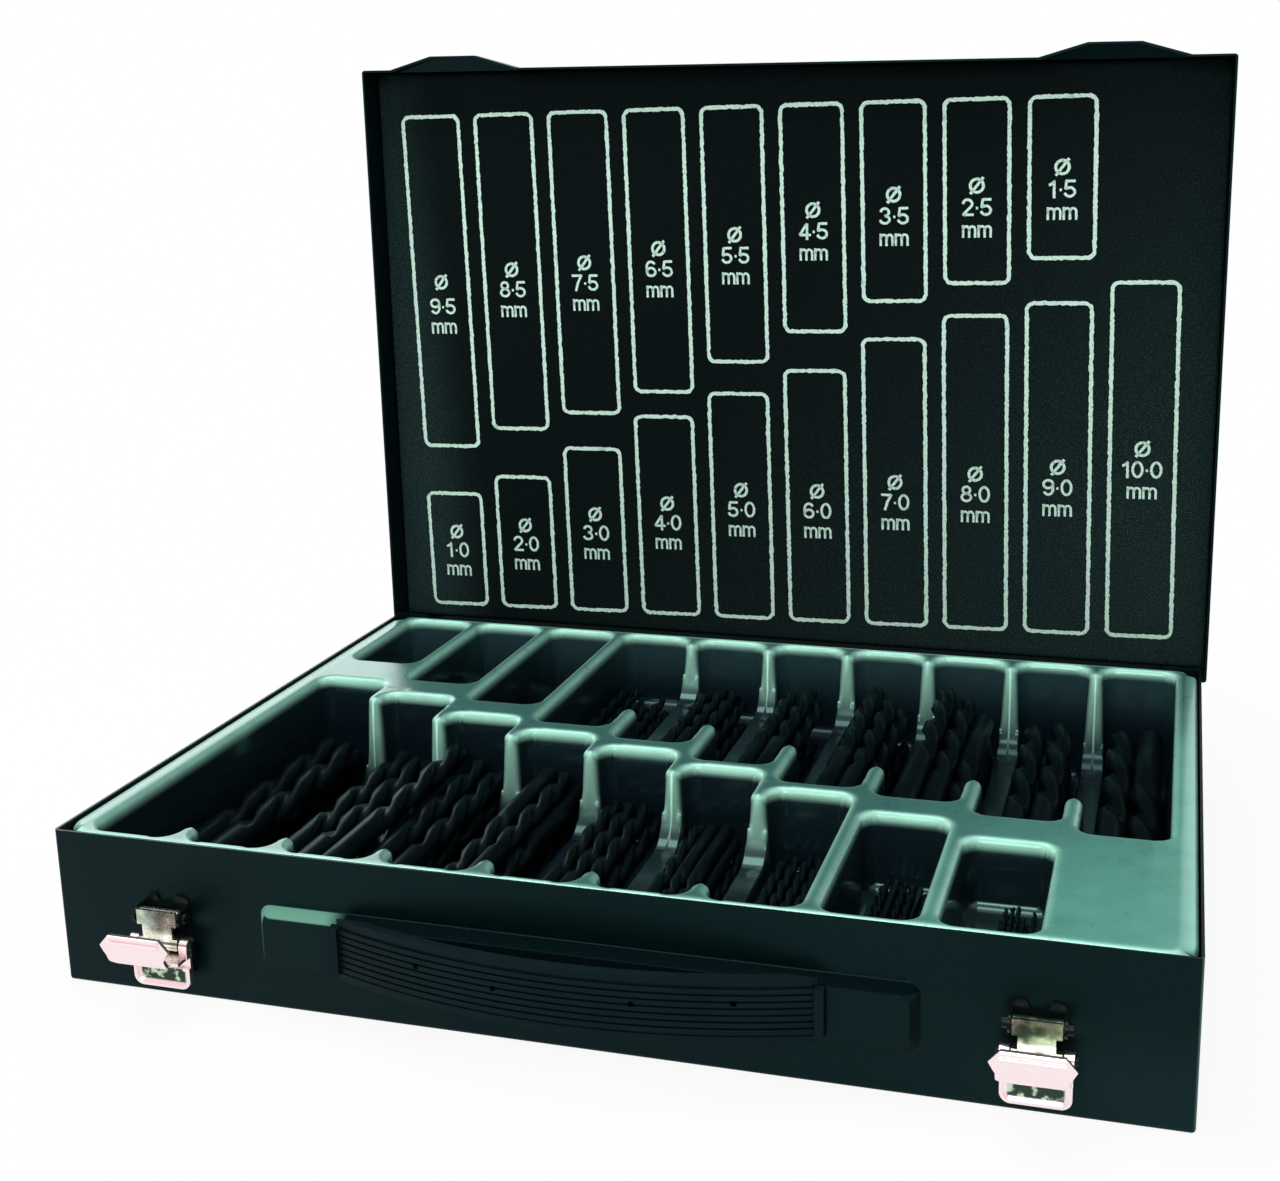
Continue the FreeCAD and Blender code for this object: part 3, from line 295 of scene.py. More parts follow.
def enamel(name, colour, rough, peel_mm, tint, handled=False):
    """Near-black paint, with the marks of the case's front, its painted highlights and sheen among them, if it is the
    handled one.
    """
    paint = Finish(name)
    thick = paint.noise(38, 3)
    peel = paint.noise(peel_mm, 2)
    speck = paint.noise(0.7, 1) > 0.76
    shade = paint.blend(thick * 0.6, rgb(*colour), rgb(*(c * 1.45 for c in colour)))
    dust_and_sheen = paint.blend(speck * 0.35, shade, rgb(0.05, 0.07, 0.07))
    dull = pale_zone = 0.0
    if handled:
        x, y, z = (paint.axis(letter) for letter in "XYZ")
        ledge = (z.ramp(*FIELD_TOP) + (0 - x).ramp(*FIELD_LEFT)).ramp(0.0, 1.0)
        pressed = (0 - y).ramp(*FIELD_FRONT) * ledge
        left_end = (0 - x).ramp(*HIGHLIGHT_END)
        # Painted highlight: the left end of the ledge is made pale mint in the colour.
        pale_zone = pressed * left_end * (z.ramp(0.010, 0.034) * 0.9 + 0.1) * 0.8
        dull = pressed * (1 - left_end)
        # Painted highlight: a thin pale line down the fold at the right.
        fold_highlight = x.ramp(0.1667, 0.1673) * (0 - y).ramp(0.1128, 0.1138) * 0.5
        # Painted sheen: the front's lower right is made lighter in the colour.
        low_right_sheen = x.ramp(0.08, 0.165) * (1 - z.ramp(0.004, 0.036)) * (0.5 + 0.5 * thick)
        dust_and_sheen = paint.blend(low_right_sheen * 0.7, dust_and_sheen, rgb(0.010, 0.026, 0.028))
        dust_and_sheen = paint.blend(fold_highlight, dust_and_sheen, rgb(0.12, 0.24, 0.22))
    return paint.surface(
        Base_Color=paint.blend(pale_zone, dust_and_sheen, rgb(0.20, 0.48, 0.36)), Metallic=dull * 0.9,
        Roughness=rough + 0.10 * thick + 0.04 * peel + (pale_zone + dull) * 0.35,
        Specular_IOR_Level=0.13, Specular_Tint=rgb(*tint), Normal=paint.bump(peel, 0.02, 0.5))


case_paint = enamel("case_paint", (0.0016, 0.0055, 0.0066), 0.30, 0.9, (0.35, 1.0, 1.0), handled=True)
hinge_paint = enamel("hinge_paint", (0.0040, 0.0070, 0.0080), 0.42, 0.6, (0.8, 1.0, 1.0))
bracket_black = enamel("bracket_steel", (0.0040, 0.0055, 0.0060), 0.20, 0.5, (0.8, 1.0, 0.95))
print("paints:", [paint.name for paint in (case_paint, hinge_paint, bracket_black)])

# %% [markdown]
# ## Nickel and wire
# The links of the latches are pressed steel with nickel. Rolling leaves faint lines along the sheet, and
# handling leaves thin haze, so both the roughness and the colour wander, between a light and a darker
# nickel. The left link gets a brighter copy of the nickel, a painted highlight. The hinge pin is plain
# wire, and a duller version of the same finish does for it.

# %% Nickel plate
def bright_plate(name, light, dark, rough, lines):
    """Nickel that wanders between two colours, with rolling lines stretched by these factors."""
    plate = Finish(name)
    drift = plate.noise(5, 3)
    rolled = plate.noise(0.35, 3, lines)
    haze = plate.noise(1.4, 4)
    return plate.surface(Base_Color=plate.blend(drift.ramp(0.35, 0.65), rgb(*light), rgb(*dark)), Metallic=1.0,
                         Roughness=rough + 0.16 * haze + 0.08 * rolled, Normal=plate.bump(rolled, 0.006, 0.4))


ROLLED = (0.08, 1, 1)
latch_plate = bright_plate("latch_plate", (0.62, 0.74, 0.56), (0.10, 0.16, 0.11), 0.10, ROLLED)
# Painted highlight: the left link's nickel is a brighter copy of the latch plate.
clean_plate = bright_plate("clean_plate", (1.0, 1.0, 0.90), (0.42, 0.52, 0.40), 0.14, ROLLED)
pin_wire = bright_plate("hinge_pin_steel", (0.42, 0.42, 0.42), (0.34, 0.36, 0.36), 0.28, (0.05, 1, 1))
print("plates:", [plate.name for plate in (latch_plate, clean_plate, pin_wire)])

# %% [markdown]
# ## Hooks
# The hook of a latch is one pressing: a grip plate of bright nickel, and below it a sunk window. The
# grip's colour carries a painted pink-white reflection, and the window's dark colour is painted shade,
# mottled with nickel. One finish does for both, because it changes with the height on the plate and
# with the distance from the middle of the latch.

# %% Hook plate
# Height of the window's lower and upper edge, and how far its sides are from the latch's middle.
WINDOW_FOOT, WINDOW_HEAD, WINDOW_SIDE = (0.0072, 0.0080), (0.0122, 0.0130), (0.0070, 0.0078)


def hook_finish(name, middle):
    """Nickel with a painted warm reflection on the grip, and painted shade inside the rim of the plate below it."""
    plate = Finish(name)
    x, z = plate.axis("X"), plate.axis("Z")
    aside = (x - middle).maths("ABSOLUTE", x - middle)
    sunk = (z.ramp(*WINDOW_FOOT) * (1 - z.ramp(*WINDOW_HEAD))) * (1 - aside.ramp(*WINDOW_SIDE))
    drift = plate.noise(3.0, 4)
    rolled = plate.noise(0.35, 3, ROLLED)
    # Painted reflection: the grip is pink-white and pale green-white in the colour.
    grip_glare = plate.blend(drift.ramp(0.45, 0.75) * 0.35, rgb(1.0, 0.83, 0.85), rgb(0.90, 0.92, 0.80))
    # Painted shade: the sunk window is dark, mottled with pale nickel.
    window_shade = plate.blend(drift.ramp(0.50, 0.62), rgb(0.035, 0.060, 0.045), rgb(0.62, 0.72, 0.55))
    return plate.surface(Base_Color=plate.blend(sunk, grip_glare, window_shade), Metallic=1.0,
                         Roughness=0.18 + 0.10 * drift + 0.06 * rolled, Normal=plate.bump(rolled, 0.006, 0.4))


LEFT_LATCH, RIGHT_LATCH = -0.130, 0.127  # X of the middle of each latch
left_grip, right_grip = hook_finish("left_grip", LEFT_LATCH), hook_finish("right_grip", RIGHT_LATCH)
print("hooks:", left_grip.name, right_grip.name)

# %% [markdown]
# ## Handle
# The handle is a ridged moulding. Four pin marks of the mould sit along its middle ridge. They are small
# holes whose shade is painted: each mark is a spot of metal of black colour, which sends no light back.

# %% Handle moulding
PIN_MARKS = ((-0.0440, 0.0265), (-0.0195, 0.0250), (0.0202, 0.0255), (0.0475, 0.0268))
handle = Finish("handle_plastic")
grip_grain = handle.noise(0.45, 3)
patch = handle.noise(16, 2)
seen_flat = handle.stretched((1, 0, 1))
# Painted shade of the pin holes, one dark spot each.
hole_shade = 0
for mark_x, mark_z in PIN_MARKS:
    away = handle.add("ShaderNodeVectorMath", {"operation": "DISTANCE"},
                      {0: seen_flat, 1: (mark_x, 0, mark_z)}, out="Value")
    hole_shade = hole_shade + (1 - away.ramp(0.0006, 0.0011))
moulded = handle.blend(patch, rgb(0.0022, 0.0060, 0.0080), rgb(0.0045, 0.0110, 0.0140))
handle_plastic = handle.surface(
    Base_Color=handle.blend(hole_shade, moulded, rgb(0, 0, 0)), Metallic=hole_shade,
    Roughness=0.34 + 0.16 * patch + 0.10 * grip_grain, Specular_IOR_Level=0.09, Specular_Tint=rgb(0.35, 0.95, 1.0),
    Normal=handle.bump(grip_grain, 0.03, 0.6))
print("handle:", len(PIN_MARKS), "pin marks")

# %% [markdown]
# ## Formed plastic
# The tray is a sheet that was heated and sucked down into a mould. It is glossy where it stretched over
# edges and a little hazy on the flats, where it keeps rub marks from the drills. The haze is what makes
# its flats look grey-green in light from above while its pockets stay black. The lips of the pockets and
# the ends of the dividers carry a painted highlight, pale mint in the colour. The mesh of the tray
# carries both as numbers at its points, which the shader reads by their names. Low in the pockets the
# shade is painted: a darker, duller surface is mixed in toward the floors, and the walls darken toward
# them. The place on the tray tells these zones apart. A painted sheen lies on the upper back walls, on
# the strip at the right edge and on the blank part at the front right, which has the palest haze.

# %% Zones of the tray
formed = Finish("tray_plastic")
rub = formed.noise(9, 5)
fine = formed.noise(0.8, 3)
scuff = formed.noise(2.2, 4, (1, 0.35, 1))
tray_x, tray_y, tray_z = (formed.axis(letter) for letter in "XYZ")
flat = tray_z.ramp(0.0452, 0.0489)
# Painted sheen: the strip at the right edge and the blank part at the front right are paler in the colour.
strip_sheen = tray_x.ramp(0.152, 0.160) * (1 - tray_y.ramp(0.0, 0.09))
blank_sheen = (tray_x.ramp(0.02, 0.17) * (1 - tray_y.ramp(-0.12, 0.06)) + strip_sheen).ramp(0.0, 1.0) * (0.78 + 0.44 * fine)
hazy = flat * (0.60 + 0.40 * rub)
# Painted sheen on the upper part of the back walls.
sheen = tray_y.ramp(0.085, 0.106) * tray_z.ramp(0.018, 0.048)
# Painted shade: low in the pockets a darker, duller surface is mixed in.
pocket_shade = 0.9 * (1 - tray_z.ramp(0.014, 0.040))
grained = formed.bump(fine * 0.4 + scuff * 0.6, 0.05, 0.35)
print("tray zones:", len(formed.tree.nodes), "nodes")

# %% Painted highlights on the edges
lip_highlight, end_highlight = (formed.add("ShaderNodeAttribute", {"attribute_name": name}, out="Fac")
                    for name in ("rubbed_lips", "rubbed_ends"))
upper_lips = lip_highlight * tray_z.ramp(0.0445, 0.0480)
edge_highlight = upper_lips.maths("MAXIMUM", upper_lips, end_highlight)
normal = formed.add("ShaderNodeTexCoord", out="Normal")
backward = formed.add("ShaderNodeSeparateXYZ", sockets={0: normal}, out="Y")
# Painted highlight on the lips and divider ends, strongest on faces turned to the front.
painted_highlight = edge_highlight * (0.40 + 0.60 * (0 - backward).ramp(-0.1, 0.6)) * (0.75 + 0.5 * rub)
print("tray masks:", len(formed.tree.nodes), "nodes")

# %% Glossy plastic, with painted shade low in the pockets
# Painted shade: the walls darken toward the floors.
shaded_wall = formed.blend(tray_z.ramp(0.012, 0.046), rgb(0.0022, 0.0048, 0.0082), rgb(0.0075, 0.0165, 0.0220))
lit_wall = formed.blend(sheen, shaded_wall, rgb(0.024, 0.058, 0.066))
# The flats' haze colour, paler where the painted sheen lies.
haze = formed.blend(blank_sheen, rgb(0.040, 0.135, 0.124), rgb(0.130, 0.410, 0.335))
# The pale mint colour is the painted highlight.
glossy = formed.principled(
    Base_Color=formed.blend(painted_highlight, formed.blend(hazy, lit_wall, haze), rgb(0.47, 0.88, 0.71)),
    Roughness=0.10 + 0.18 * hazy + 0.06 * scuff + 0.03 * fine,
    IOR=1.8, Specular_IOR_Level=0.5, Specular_Tint=rgb(0.52, 1.0, 0.84), Normal=grained)
shaded_plastic = formed.principled(
    Base_Color=formed.blend(rub, rgb(0.0030, 0.0070, 0.0120), rgb(0.0050, 0.0120, 0.0190)),
    Roughness=0.22 + 0.10 * rub, IOR=1.5, Specular_IOR_Level=0.14, Specular_Tint=rgb(0.55, 0.95, 1.0), Normal=grained)
tray_plastic = formed.finished(
    formed.add("ShaderNodeMixShader", sockets={"Fac": pocket_shade * (1 - painted_highlight), 1: glossy, 2: shaded_plastic}))
print("tray finish:", len(formed.tree.nodes), "nodes")

# %% [markdown]
# ## Foam and ink
# The liner is a thin foam sheet. Its open cells make a fine dark grain with a few bright cell walls, more
# of them toward the lower right and the left edge, where the foam turns paler. The ink sits on the cell
# walls only, so its edge is ragged and it has pinholes. The pinholes are cut out with the ink's alpha.

# %% Foam finish
cells = Finish("liner_foam")
grain = cells.noise(0.55, 2)
pores = cells.noise(0.30, 1)
waves = cells.noise(60, 2)
foam_x, foam_z = cells.axis("X"), cells.axis("Z")
pale_zone = (foam_x * 2.6 - foam_z * 3.0 + 0.60 + (0 - foam_x).ramp(0.12, 0.166) * 1.1).ramp(0.0, 1.0)
walls = (grain * 0.6 + pores * 0.4).ramp(0.50, 0.72)
flecks = pores > (0.80 - 0.05 * pale_zone)
dark = cells.blend(walls, rgb(0.0024, 0.0054, 0.0057), rgb(0.0100, 0.0205, 0.0215))
light = cells.blend(pale_zone * 0.8 * (0.15 + 0.85 * walls), dark, rgb(0.080, 0.170, 0.165))
liner_foam = cells.surface(
    Base_Color=cells.blend(flecks * 0.5, light, rgb(0.10, 0.15, 0.145)),
    Roughness=0.92 - 0.1 * waves, Specular_IOR_Level=0.06, Normal=cells.bump(grain * 0.5 + pores * 0.5, 0.16, 0.8))
print("foam finish:", len(cells.tree.nodes), "nodes")

# %% Ink finish
ink = Finish("liner_ink")
cover = ink.noise(0.42, 2)
thin = ink.noise(6, 2)
print_ink = ink.surface(
    Base_Color=ink.blend(cover, rgb(0.66, 0.98, 0.80), rgb(0.82, 1.0, 0.92)), Roughness=0.75, Specular_IOR_Level=0.2,
    Alpha=cover.ramp(0.27, 0.36) * (1 - 0.25 * thin.ramp(0.62, 0.75)), Normal=ink.bump(cover, 0.08, 0.7))
print("ink finish:", len(ink.tree.nodes), "nodes")

# %% [markdown]
# ## Black oxide
# Drills are ground from hardened steel and blackened in a hot salt bath. The oxide is a thin dark film
# that hides most of the metal, so the finish is one fifth metal, and its colour and gloss wander in
# spots of a few millimetres.

# %% Drill steel
oxide = Finish("drill_steel")
mottle = oxide.noise(2.4, 3)
ground = oxide.noise(0.25, 2)
drill_steel = oxide.surface(
    Base_Color=oxide.blend(mottle, rgb(0.0012, 0.0026, 0.0036), rgb(0.0026, 0.0050, 0.0064)), Metallic=0.2,
    Roughness=0.27 + 0.14 * mottle + 0.05 * ground, Specular_IOR_Level=0.04, Specular_Tint=rgb(0.6, 1.0, 1.0),
    Normal=oxide.bump(ground, 0.02, 0.5))
print("drill finish:", len(oxide.tree.nodes), "nodes")

# %% [markdown]
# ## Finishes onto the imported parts
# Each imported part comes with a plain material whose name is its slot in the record. The finish of the
# same name takes its place. The shape of the part isn't touched. Three of the four plated parts of the
# latches have a finish of their own.

# %% Slots
FINISHES = {
    "case_paint": case_paint, "hinge_paint": hinge_paint, "bracket_steel": bracket_black, "latch_plate": latch_plate,
    "hinge_pin_steel": pin_wire, "handle_plastic": handle_plastic, "tray_plastic": tray_plastic,
    "liner_foam": liner_foam, "drill_steel": drill_steel,
}
LATCH_PLATES = {"left_hook": left_grip, "right_hook": right_grip, "left_link": clean_plate}
for name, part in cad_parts.items():
    for holder in part.material_slots:
        slot = holder.material.name.split(".")[0]
        holder.material = LATCH_PLATES.get(name) or FINISHES[slot]
print("finished parts:", {name: part.material_slots[0].material.name for name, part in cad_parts.items()
                          if not name.startswith("drills")})


# %% [markdown]
# ## A mesh from arrays
# The tray, the foam and the drills are all surfaces on a grid: rows and columns of points joined by
# four-sided faces. One helper turns such arrays into a smooth-shaded object, so that each piece below
# only has to say where its points are.

# %% Grid surfaces
def grid_faces(rows, columns, closed=False):
    """Faces of a grid of points, whose rows close into rings if asked."""
    wide = columns if closed else columns - 1
    r, c = np.meshgrid(np.arange(rows - 1), np.arange(wide), indexing="ij")
    after = (c + 1) % columns
    here, there = r * columns, (r + 1) * columns
    return np.stack([here + c, here + after, there + after, there + c], -1).reshape(-1, 4)


def make_piece(name, points, faces, finish, body):
    """A smooth mesh object of points in millimetres that rides on one body."""
    mesh = bpy.data.meshes.new(name)
    mesh.from_pydata((np.asarray(points, float) * MM).tolist(), [], [list(map(int, face)) for face in faces])
    mesh.polygons.foreach_set("use_smooth", [True] * len(mesh.polygons))
    mesh.materials.append(finish)
    mesh.update()
    piece = bpy.data.objects.new(name, mesh)
    scene.collection.objects.link(piece)
    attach(piece, body)
    return piece


# %% [markdown]
# ## The formed tray
# A formed sheet has no sharp edge: every pocket mouth rolls over, every wall leans a little so that the
# sheet comes off its mould, and every floor meets its walls in a curve. Carving this from solids gives
# creases where fillets meet. Here the tray is a height above the table at each point of a fine
# grid. The distance to the nearest pocket edge gives the depth, through one profile: roll, leaning wall,
# foot curve, floor.

# %% Pocket sizes
TRAY_TOP = 49.2
TRAY_HALF = (166.2, 113.05)
PITCH, MOUTH, LEAN = 32.2, 26.6, math.tan(math.radians(2.5))
BACK_END, FRONT_END = 109.55, -108.95
# Drill size and length of each pocket, from the left.
BACK = [(1.0, 54.0), (2.0, 71.1), (3.0, 86.7), (4.0, 101.7), (5.0, 110.4),
        (6.0, 122.9), (7.0, 134.7), (8.0, 138.8), (9.0, 146.1), (10.0, 152.7)]
FRONT = [(9.5, 142.2), (8.5, 131.6), (7.5, 117.6), (6.5, 107.4), (5.5, 99.3),
         (4.5, 89.5), (3.5, 76.9), (2.5, 65.0), (1.5, 53.8)]
LIP, FOOT, MOUTH_CORNER = 2.7, 3.5, 5.0
# A cut divider keeps a stub at its far end, a fin at its near end and a low ridge between them.
STUB, FRONT_FIN, BACK_FIN, RIDGE, RIDGE_FOOT = 7.5, 9.0, 20.0, 6.0, 10.0


def floor_up(diameter):
    """Height of a pocket's floor over the table, lower for thicker drills."""
    return 2.0 + 27.0 * (10.0 - diameter) / 9.0


pockets = [(PITCH * (i - 4.5), BACK_END - length, BACK_END, floor_up(d)) for i, (d, length) in enumerate(BACK)]
pockets += [(PITCH * (i - 4.5), FRONT_END, FRONT_END + length, floor_up(d)) for i, (d, length) in enumerate(FRONT)]
gaps = []
for row, fins, cut in ((pockets[:10], BACK_FIN, range(3, 9)), (pockets[10:], FRONT_FIN, range(0, 6))):
    for i in cut:
        one, other = row[i], row[i + 1]
        gaps.append(((one[0] + other[0]) / 2, max(one[1], other[1]) + fins, min(one[2], other[2]) - STUB,
                     max(one[3], other[3]) + RIDGE))
print("pockets:", len(pockets), "cut dividers:", len(gaps))


# %% Depth profile
# The last number is the width, in millimetres, of the painted highlight bands on lips and divider ends.
FIN_TURN, FLOOR_TURN, HIGHLIGHT_BAND = 4.0, 0.8, 1.5
GAP_ASIDE, GAP_PAST = 9, 12


def inside(x, y, centre, low, high, half, corner):
    """Distance in from the edge of a rounded rectangle, negative outside."""
    dx = np.abs(x - centre) - (half - corner)
    dy = np.abs(y - (low + high) / 2) - ((high - low) / 2 - corner)
    return corner - np.hypot(np.maximum(dx, 0), np.maximum(dy, 0)) - np.minimum(np.maximum(dx, dy), 0)


def wall_depth(s):
    """Depth of roll and leaning wall at a distance in from the mouth's edge."""
    roll = LIP - np.sqrt(np.maximum(LIP ** 2 - np.clip(s + LIP, 0, LIP) ** 2, 0))
    return roll + np.maximum(s, 0) / LEAN


def floor_depth(s, deep, foot):
    """Depth of a floor with a foot curve, which limits the wall."""
    start = (deep - foot - LIP) * LEAN
    run = np.clip(s - start, 0, foot)
    return deep - foot + np.sqrt(np.maximum(foot ** 2 - (foot - run) ** 2, 0))


def soft_max(a, b, reach):
    """The larger of two, with a smooth turn where they are nearly equal."""
    near = np.clip(reach - np.abs(a - b), 0, None) / reach
    return np.maximum(a, b) + near ** 2 * reach / 4


def tray_depth(x, y):
    """How far the tray lies below its flat top, and how strongly its lips and divider ends carry a painted highlight.
    """
    depth = np.zeros_like(x)
    mouth = np.full_like(x, -99.0)
    ends = np.zeros_like(x)
    for centre, low, high, floor in pockets:
        near = np.abs(x - centre) < PITCH
        s = inside(x[near], y[near], centre, low, high, MOUTH / 2, MOUTH_CORNER)
        mouth[near] = np.maximum(mouth[near], s)
        depth[near] = np.maximum(depth[near], np.minimum(wall_depth(s), floor_depth(s, TRAY_TOP - floor, FOOT)))
    for centre, low, high, ridge in gaps:
        near = (np.abs(x - centre) < GAP_ASIDE) & (y > low - GAP_PAST) & (y < high + GAP_PAST)
        t = np.minimum(y[near] - low, high - y[near])
        s = soft_max(mouth[near], t, FIN_TURN)
        cut = np.minimum(wall_depth(s), floor_depth(t, TRAY_TOP - ridge, RIDGE_FOOT))
        depth[near] = soft_max(depth[near], cut, FLOOR_TURN)
        mouth[near] = np.maximum(mouth[near], np.minimum(s, t))
        end = np.exp(-((y[near] - high) / HIGHLIGHT_BAND) ** 2) + 0.6 * np.exp(-((y[near] - low) / HIGHLIGHT_BAND) ** 2)
        ends[near] = np.maximum(ends[near], end * np.exp(-((x[near] - centre) / 3.4) ** 4))
    return depth, np.exp(-((mouth + 0.4) / HIGHLIGHT_BAND) ** 2), ends * np.exp(-depth / 38.0)


# %% Tray grid
# Rows and columns of the grid lie closest where the sheet bends, at these distances in from a mouth's edge.
EDGE_STEPS = (-2.8, -2.3, -1.9, -1.5, -1.1, -0.75, -0.4, -0.15, 0.05, 0.3, 0.6, 0.95, 1.3, 1.65, 2.0,
              2.5, 3.1, 3.8, 4.6, 5.5, 6.6, 8.0, 10.0)
columns = {-TRAY_HALF[0], TRAY_HALF[0]}
for i in range(10):
    middle = PITCH * (i - 4.5)
    columns |= {middle}
    for step in EDGE_STEPS:
        columns |= {middle - MOUTH / 2 + step, middle + MOUTH / 2 - step}
columns |= {side * (TRAY_HALF[0] - step) for side in (-1, 1) for step in (0.15, 0.4, 0.8, 1.3)}
xs = np.array(sorted(c for c in columns if abs(c) <= TRAY_HALF[0]))
ys = np.unique(np.round(np.concatenate([
    np.arange(-TRAY_HALF[1], -88, 0.55), np.arange(-88, -58, 1.5), np.arange(-58, 66, 0.5),
    np.arange(66, 92, 1.5), np.arange(92, TRAY_HALF[1], 0.55), [TRAY_HALF[1]],
    FRONT_END + np.array(EDGE_STEPS[5:15]), BACK_END - np.array(EDGE_STEPS[5:15])]), 3))
X, Y = np.meshgrid(xs, ys)
depth, lips, ends = tray_depth(X, Y)
Z = TRAY_TOP - depth
print("tray grid:", X.shape, "deepest", round(float(depth.max()), 2), "mm")

# %% Outer edge of the tray
# The sheet's rim rolls down, the corners of the grid are pulled in to round ones, and a skirt closes it.
OUTER_CORNER, OUTER_ROLL, SKIRT = 9.0, 2.2, 6.0
rim = inside(X, Y, 0, -TRAY_HALF[1], TRAY_HALF[1], TRAY_HALF[0], OUTER_CORNER)
turn = OUTER_ROLL - np.sqrt(np.maximum(OUTER_ROLL ** 2 - np.clip(OUTER_ROLL - rim, 0, OUTER_ROLL) ** 2, 0))
Z = np.minimum(Z, TRAY_TOP - turn)
for sx in (-1, 1):
    for sy in (-1, 1):
        hub = np.array([sx * (TRAY_HALF[0] - OUTER_CORNER), sy * (TRAY_HALF[1] - OUTER_CORNER)])
        from_hub = np.stack([X - hub[0], Y - hub[1]], -1)
        reach = np.linalg.norm(from_hub, axis=-1)
        outside = (X * sx > hub[0] * sx) & (Y * sy > hub[1] * sy) & (reach > OUTER_CORNER)
        X[outside] = hub[0] + from_hub[outside][:, 0] / reach[outside] * OUTER_CORNER
        Y[outside] = hub[1] + from_hub[outside][:, 1] / reach[outside] * OUTER_CORNER
# The outer rim's roll carries the painted lip highlight too.
lips = np.maximum(lips, np.exp(-((rim - 1.2) / 1.4) ** 2))
X, Y, lips, ends = (np.pad(field, 1, mode="edge") for field in (X, Y, lips, ends))
Z = np.pad(Z, 1, constant_values=TRAY_TOP - SKIRT)
tray = make_piece("formed_tray", np.stack([X, Y, Z], -1).reshape(-1, 3), grid_faces(*X.shape), tray_plastic,
                  "base")
for field, amount in (("rubbed_lips", lips), ("rubbed_ends", ends)):
    tray.data.attributes.new(field, "FLOAT", "POINT").data.foreach_set("value", amount.ravel())
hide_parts("drill_tray")
print("tray points:", len(tray.data.vertices), "lowest", round(float(Z.min()), 2), "mm")

# %% [markdown]
# ## Twist drills
# Each pile of drills in the frame is a set of plain rods that says where every drill lies and which end
# is its point. A real drill has two flutes that wind round a thin web, one turn in about five and a half
# diameters, a plain shank, and a point ground to 118 degrees. The rods are read one by one, and a fluted
# drill of the same size is laid along each.

# %% Rods of the frame
FLUTE_LENGTH = {1.0: 12, 1.5: 18, 2.0: 24, 2.5: 30, 3.0: 33, 3.5: 39, 4.0: 43, 4.5: 47, 5.0: 52, 5.5: 57,
                6.0: 57, 6.5: 63, 7.0: 69, 7.5: 69, 8.0: 75, 8.5: 75, 9.0: 81, 9.5: 81, 10.0: 87}
SAME_END = 0.02


def separate_rods(node):
    """Points of each loose solid of a node, in millimetres."""
    mesh = node.data
    spots = np.zeros(len(mesh.vertices) * 3)
    mesh.vertices.foreach_get("co", spots)
    spots = spots.reshape(-1, 3) / MM
    unique, same = np.unique(np.round(spots, 3), axis=0, return_inverse=True)
    same = same.ravel()
    label = np.arange(len(unique))
    edges = np.zeros(len(mesh.edges) * 2, int)
    mesh.edges.foreach_get("vertices", edges)
    edges = same[edges.reshape(-1, 2)]
    while True:
        low = np.minimum(label[edges[:, 0]], label[edges[:, 1]])
        before = label.copy()
        np.minimum.at(label, edges[:, 0], low)
        np.minimum.at(label, edges[:, 1], low)
        label = label[label]
        if (label == before).all():
            break
    return [unique[label == one] for one in np.unique(label)]


def rod_line(points):
    """Blunt end, point end and radius of a rod."""
    centre = points.mean(0)
    axis = np.linalg.svd(points - centre, full_matrices=False)[2][0]
    along = (points - centre) @ axis
    width = np.linalg.norm(points - centre - along[:, None] * axis, axis=1)
    if width[along > along.max() - SAME_END].mean() > width[along < along.min() + SAME_END].mean():
        axis, along = -axis, -along
    blunt_end = points[along < along.min() + SAME_END]
    blunt = blunt_end.mean(0)
    radius = np.linalg.norm(blunt_end - blunt, axis=1).max()
    return blunt, blunt + axis * (along.max() - along.min()), radius


# %% A fluted drill
HALF_POINT = math.radians(59)
TURN_IN_DIAMETERS = 5.44
AROUND, ALONG_FLUTE = 18, 30
LAND_FROM, LAND_OVER, FLUTE_DEPTH = 0.30, 0.42, 0.62


def drill_points(blunt, point, radius, flute, start):
    """Rings of points of one twist drill, from shank to point."""
    length = float(np.linalg.norm(point - blunt))
    axis = (point - blunt) / length
    side = np.cross(axis, [0, 0, 1.0])
    side /= np.linalg.norm(side)
    over = np.cross(side, axis)
    cone = radius / math.tan(HALF_POINT)
    turn = 2 * math.pi / (TURN_IN_DIAMETERS * 2 * radius)
    shank = length - flute
    plain = [0.0, 0.12 * radius, shank * 0.5, shank]
    fluted = np.linspace(shank, length - cone, ALONG_FLUTE)[1:]
    rings = np.concatenate([plain, fluted, [length - cone * 0.5, length - cone * 0.03]])
    angle = np.linspace(0, 2 * math.pi, AROUND, endpoint=False)
    points = []
    for place in rings:
        wound = angle - start - turn * max(place - shank, 0)
        lobe = np.abs(np.sin(wound))
        land = np.clip((lobe - LAND_FROM) / LAND_OVER, 0, 1)
        deep = np.clip((place - shank) / (1.6 * radius), 0, 1)
        shape = 1 - deep * (1 - land ** 0.8) * FLUTE_DEPTH
        taper = min(1.0, (length - place) / cone) if place > length - cone else 1.0
        edge = 0.86 if place == 0 else 1.0
        reach = radius * shape * taper * edge * 0.995
        points.append(blunt + axis * place
                      + np.outer(np.cos(angle) * reach, side) + np.outer(np.sin(angle) * reach, over))
    return np.concatenate(points), len(rings), len(angle)


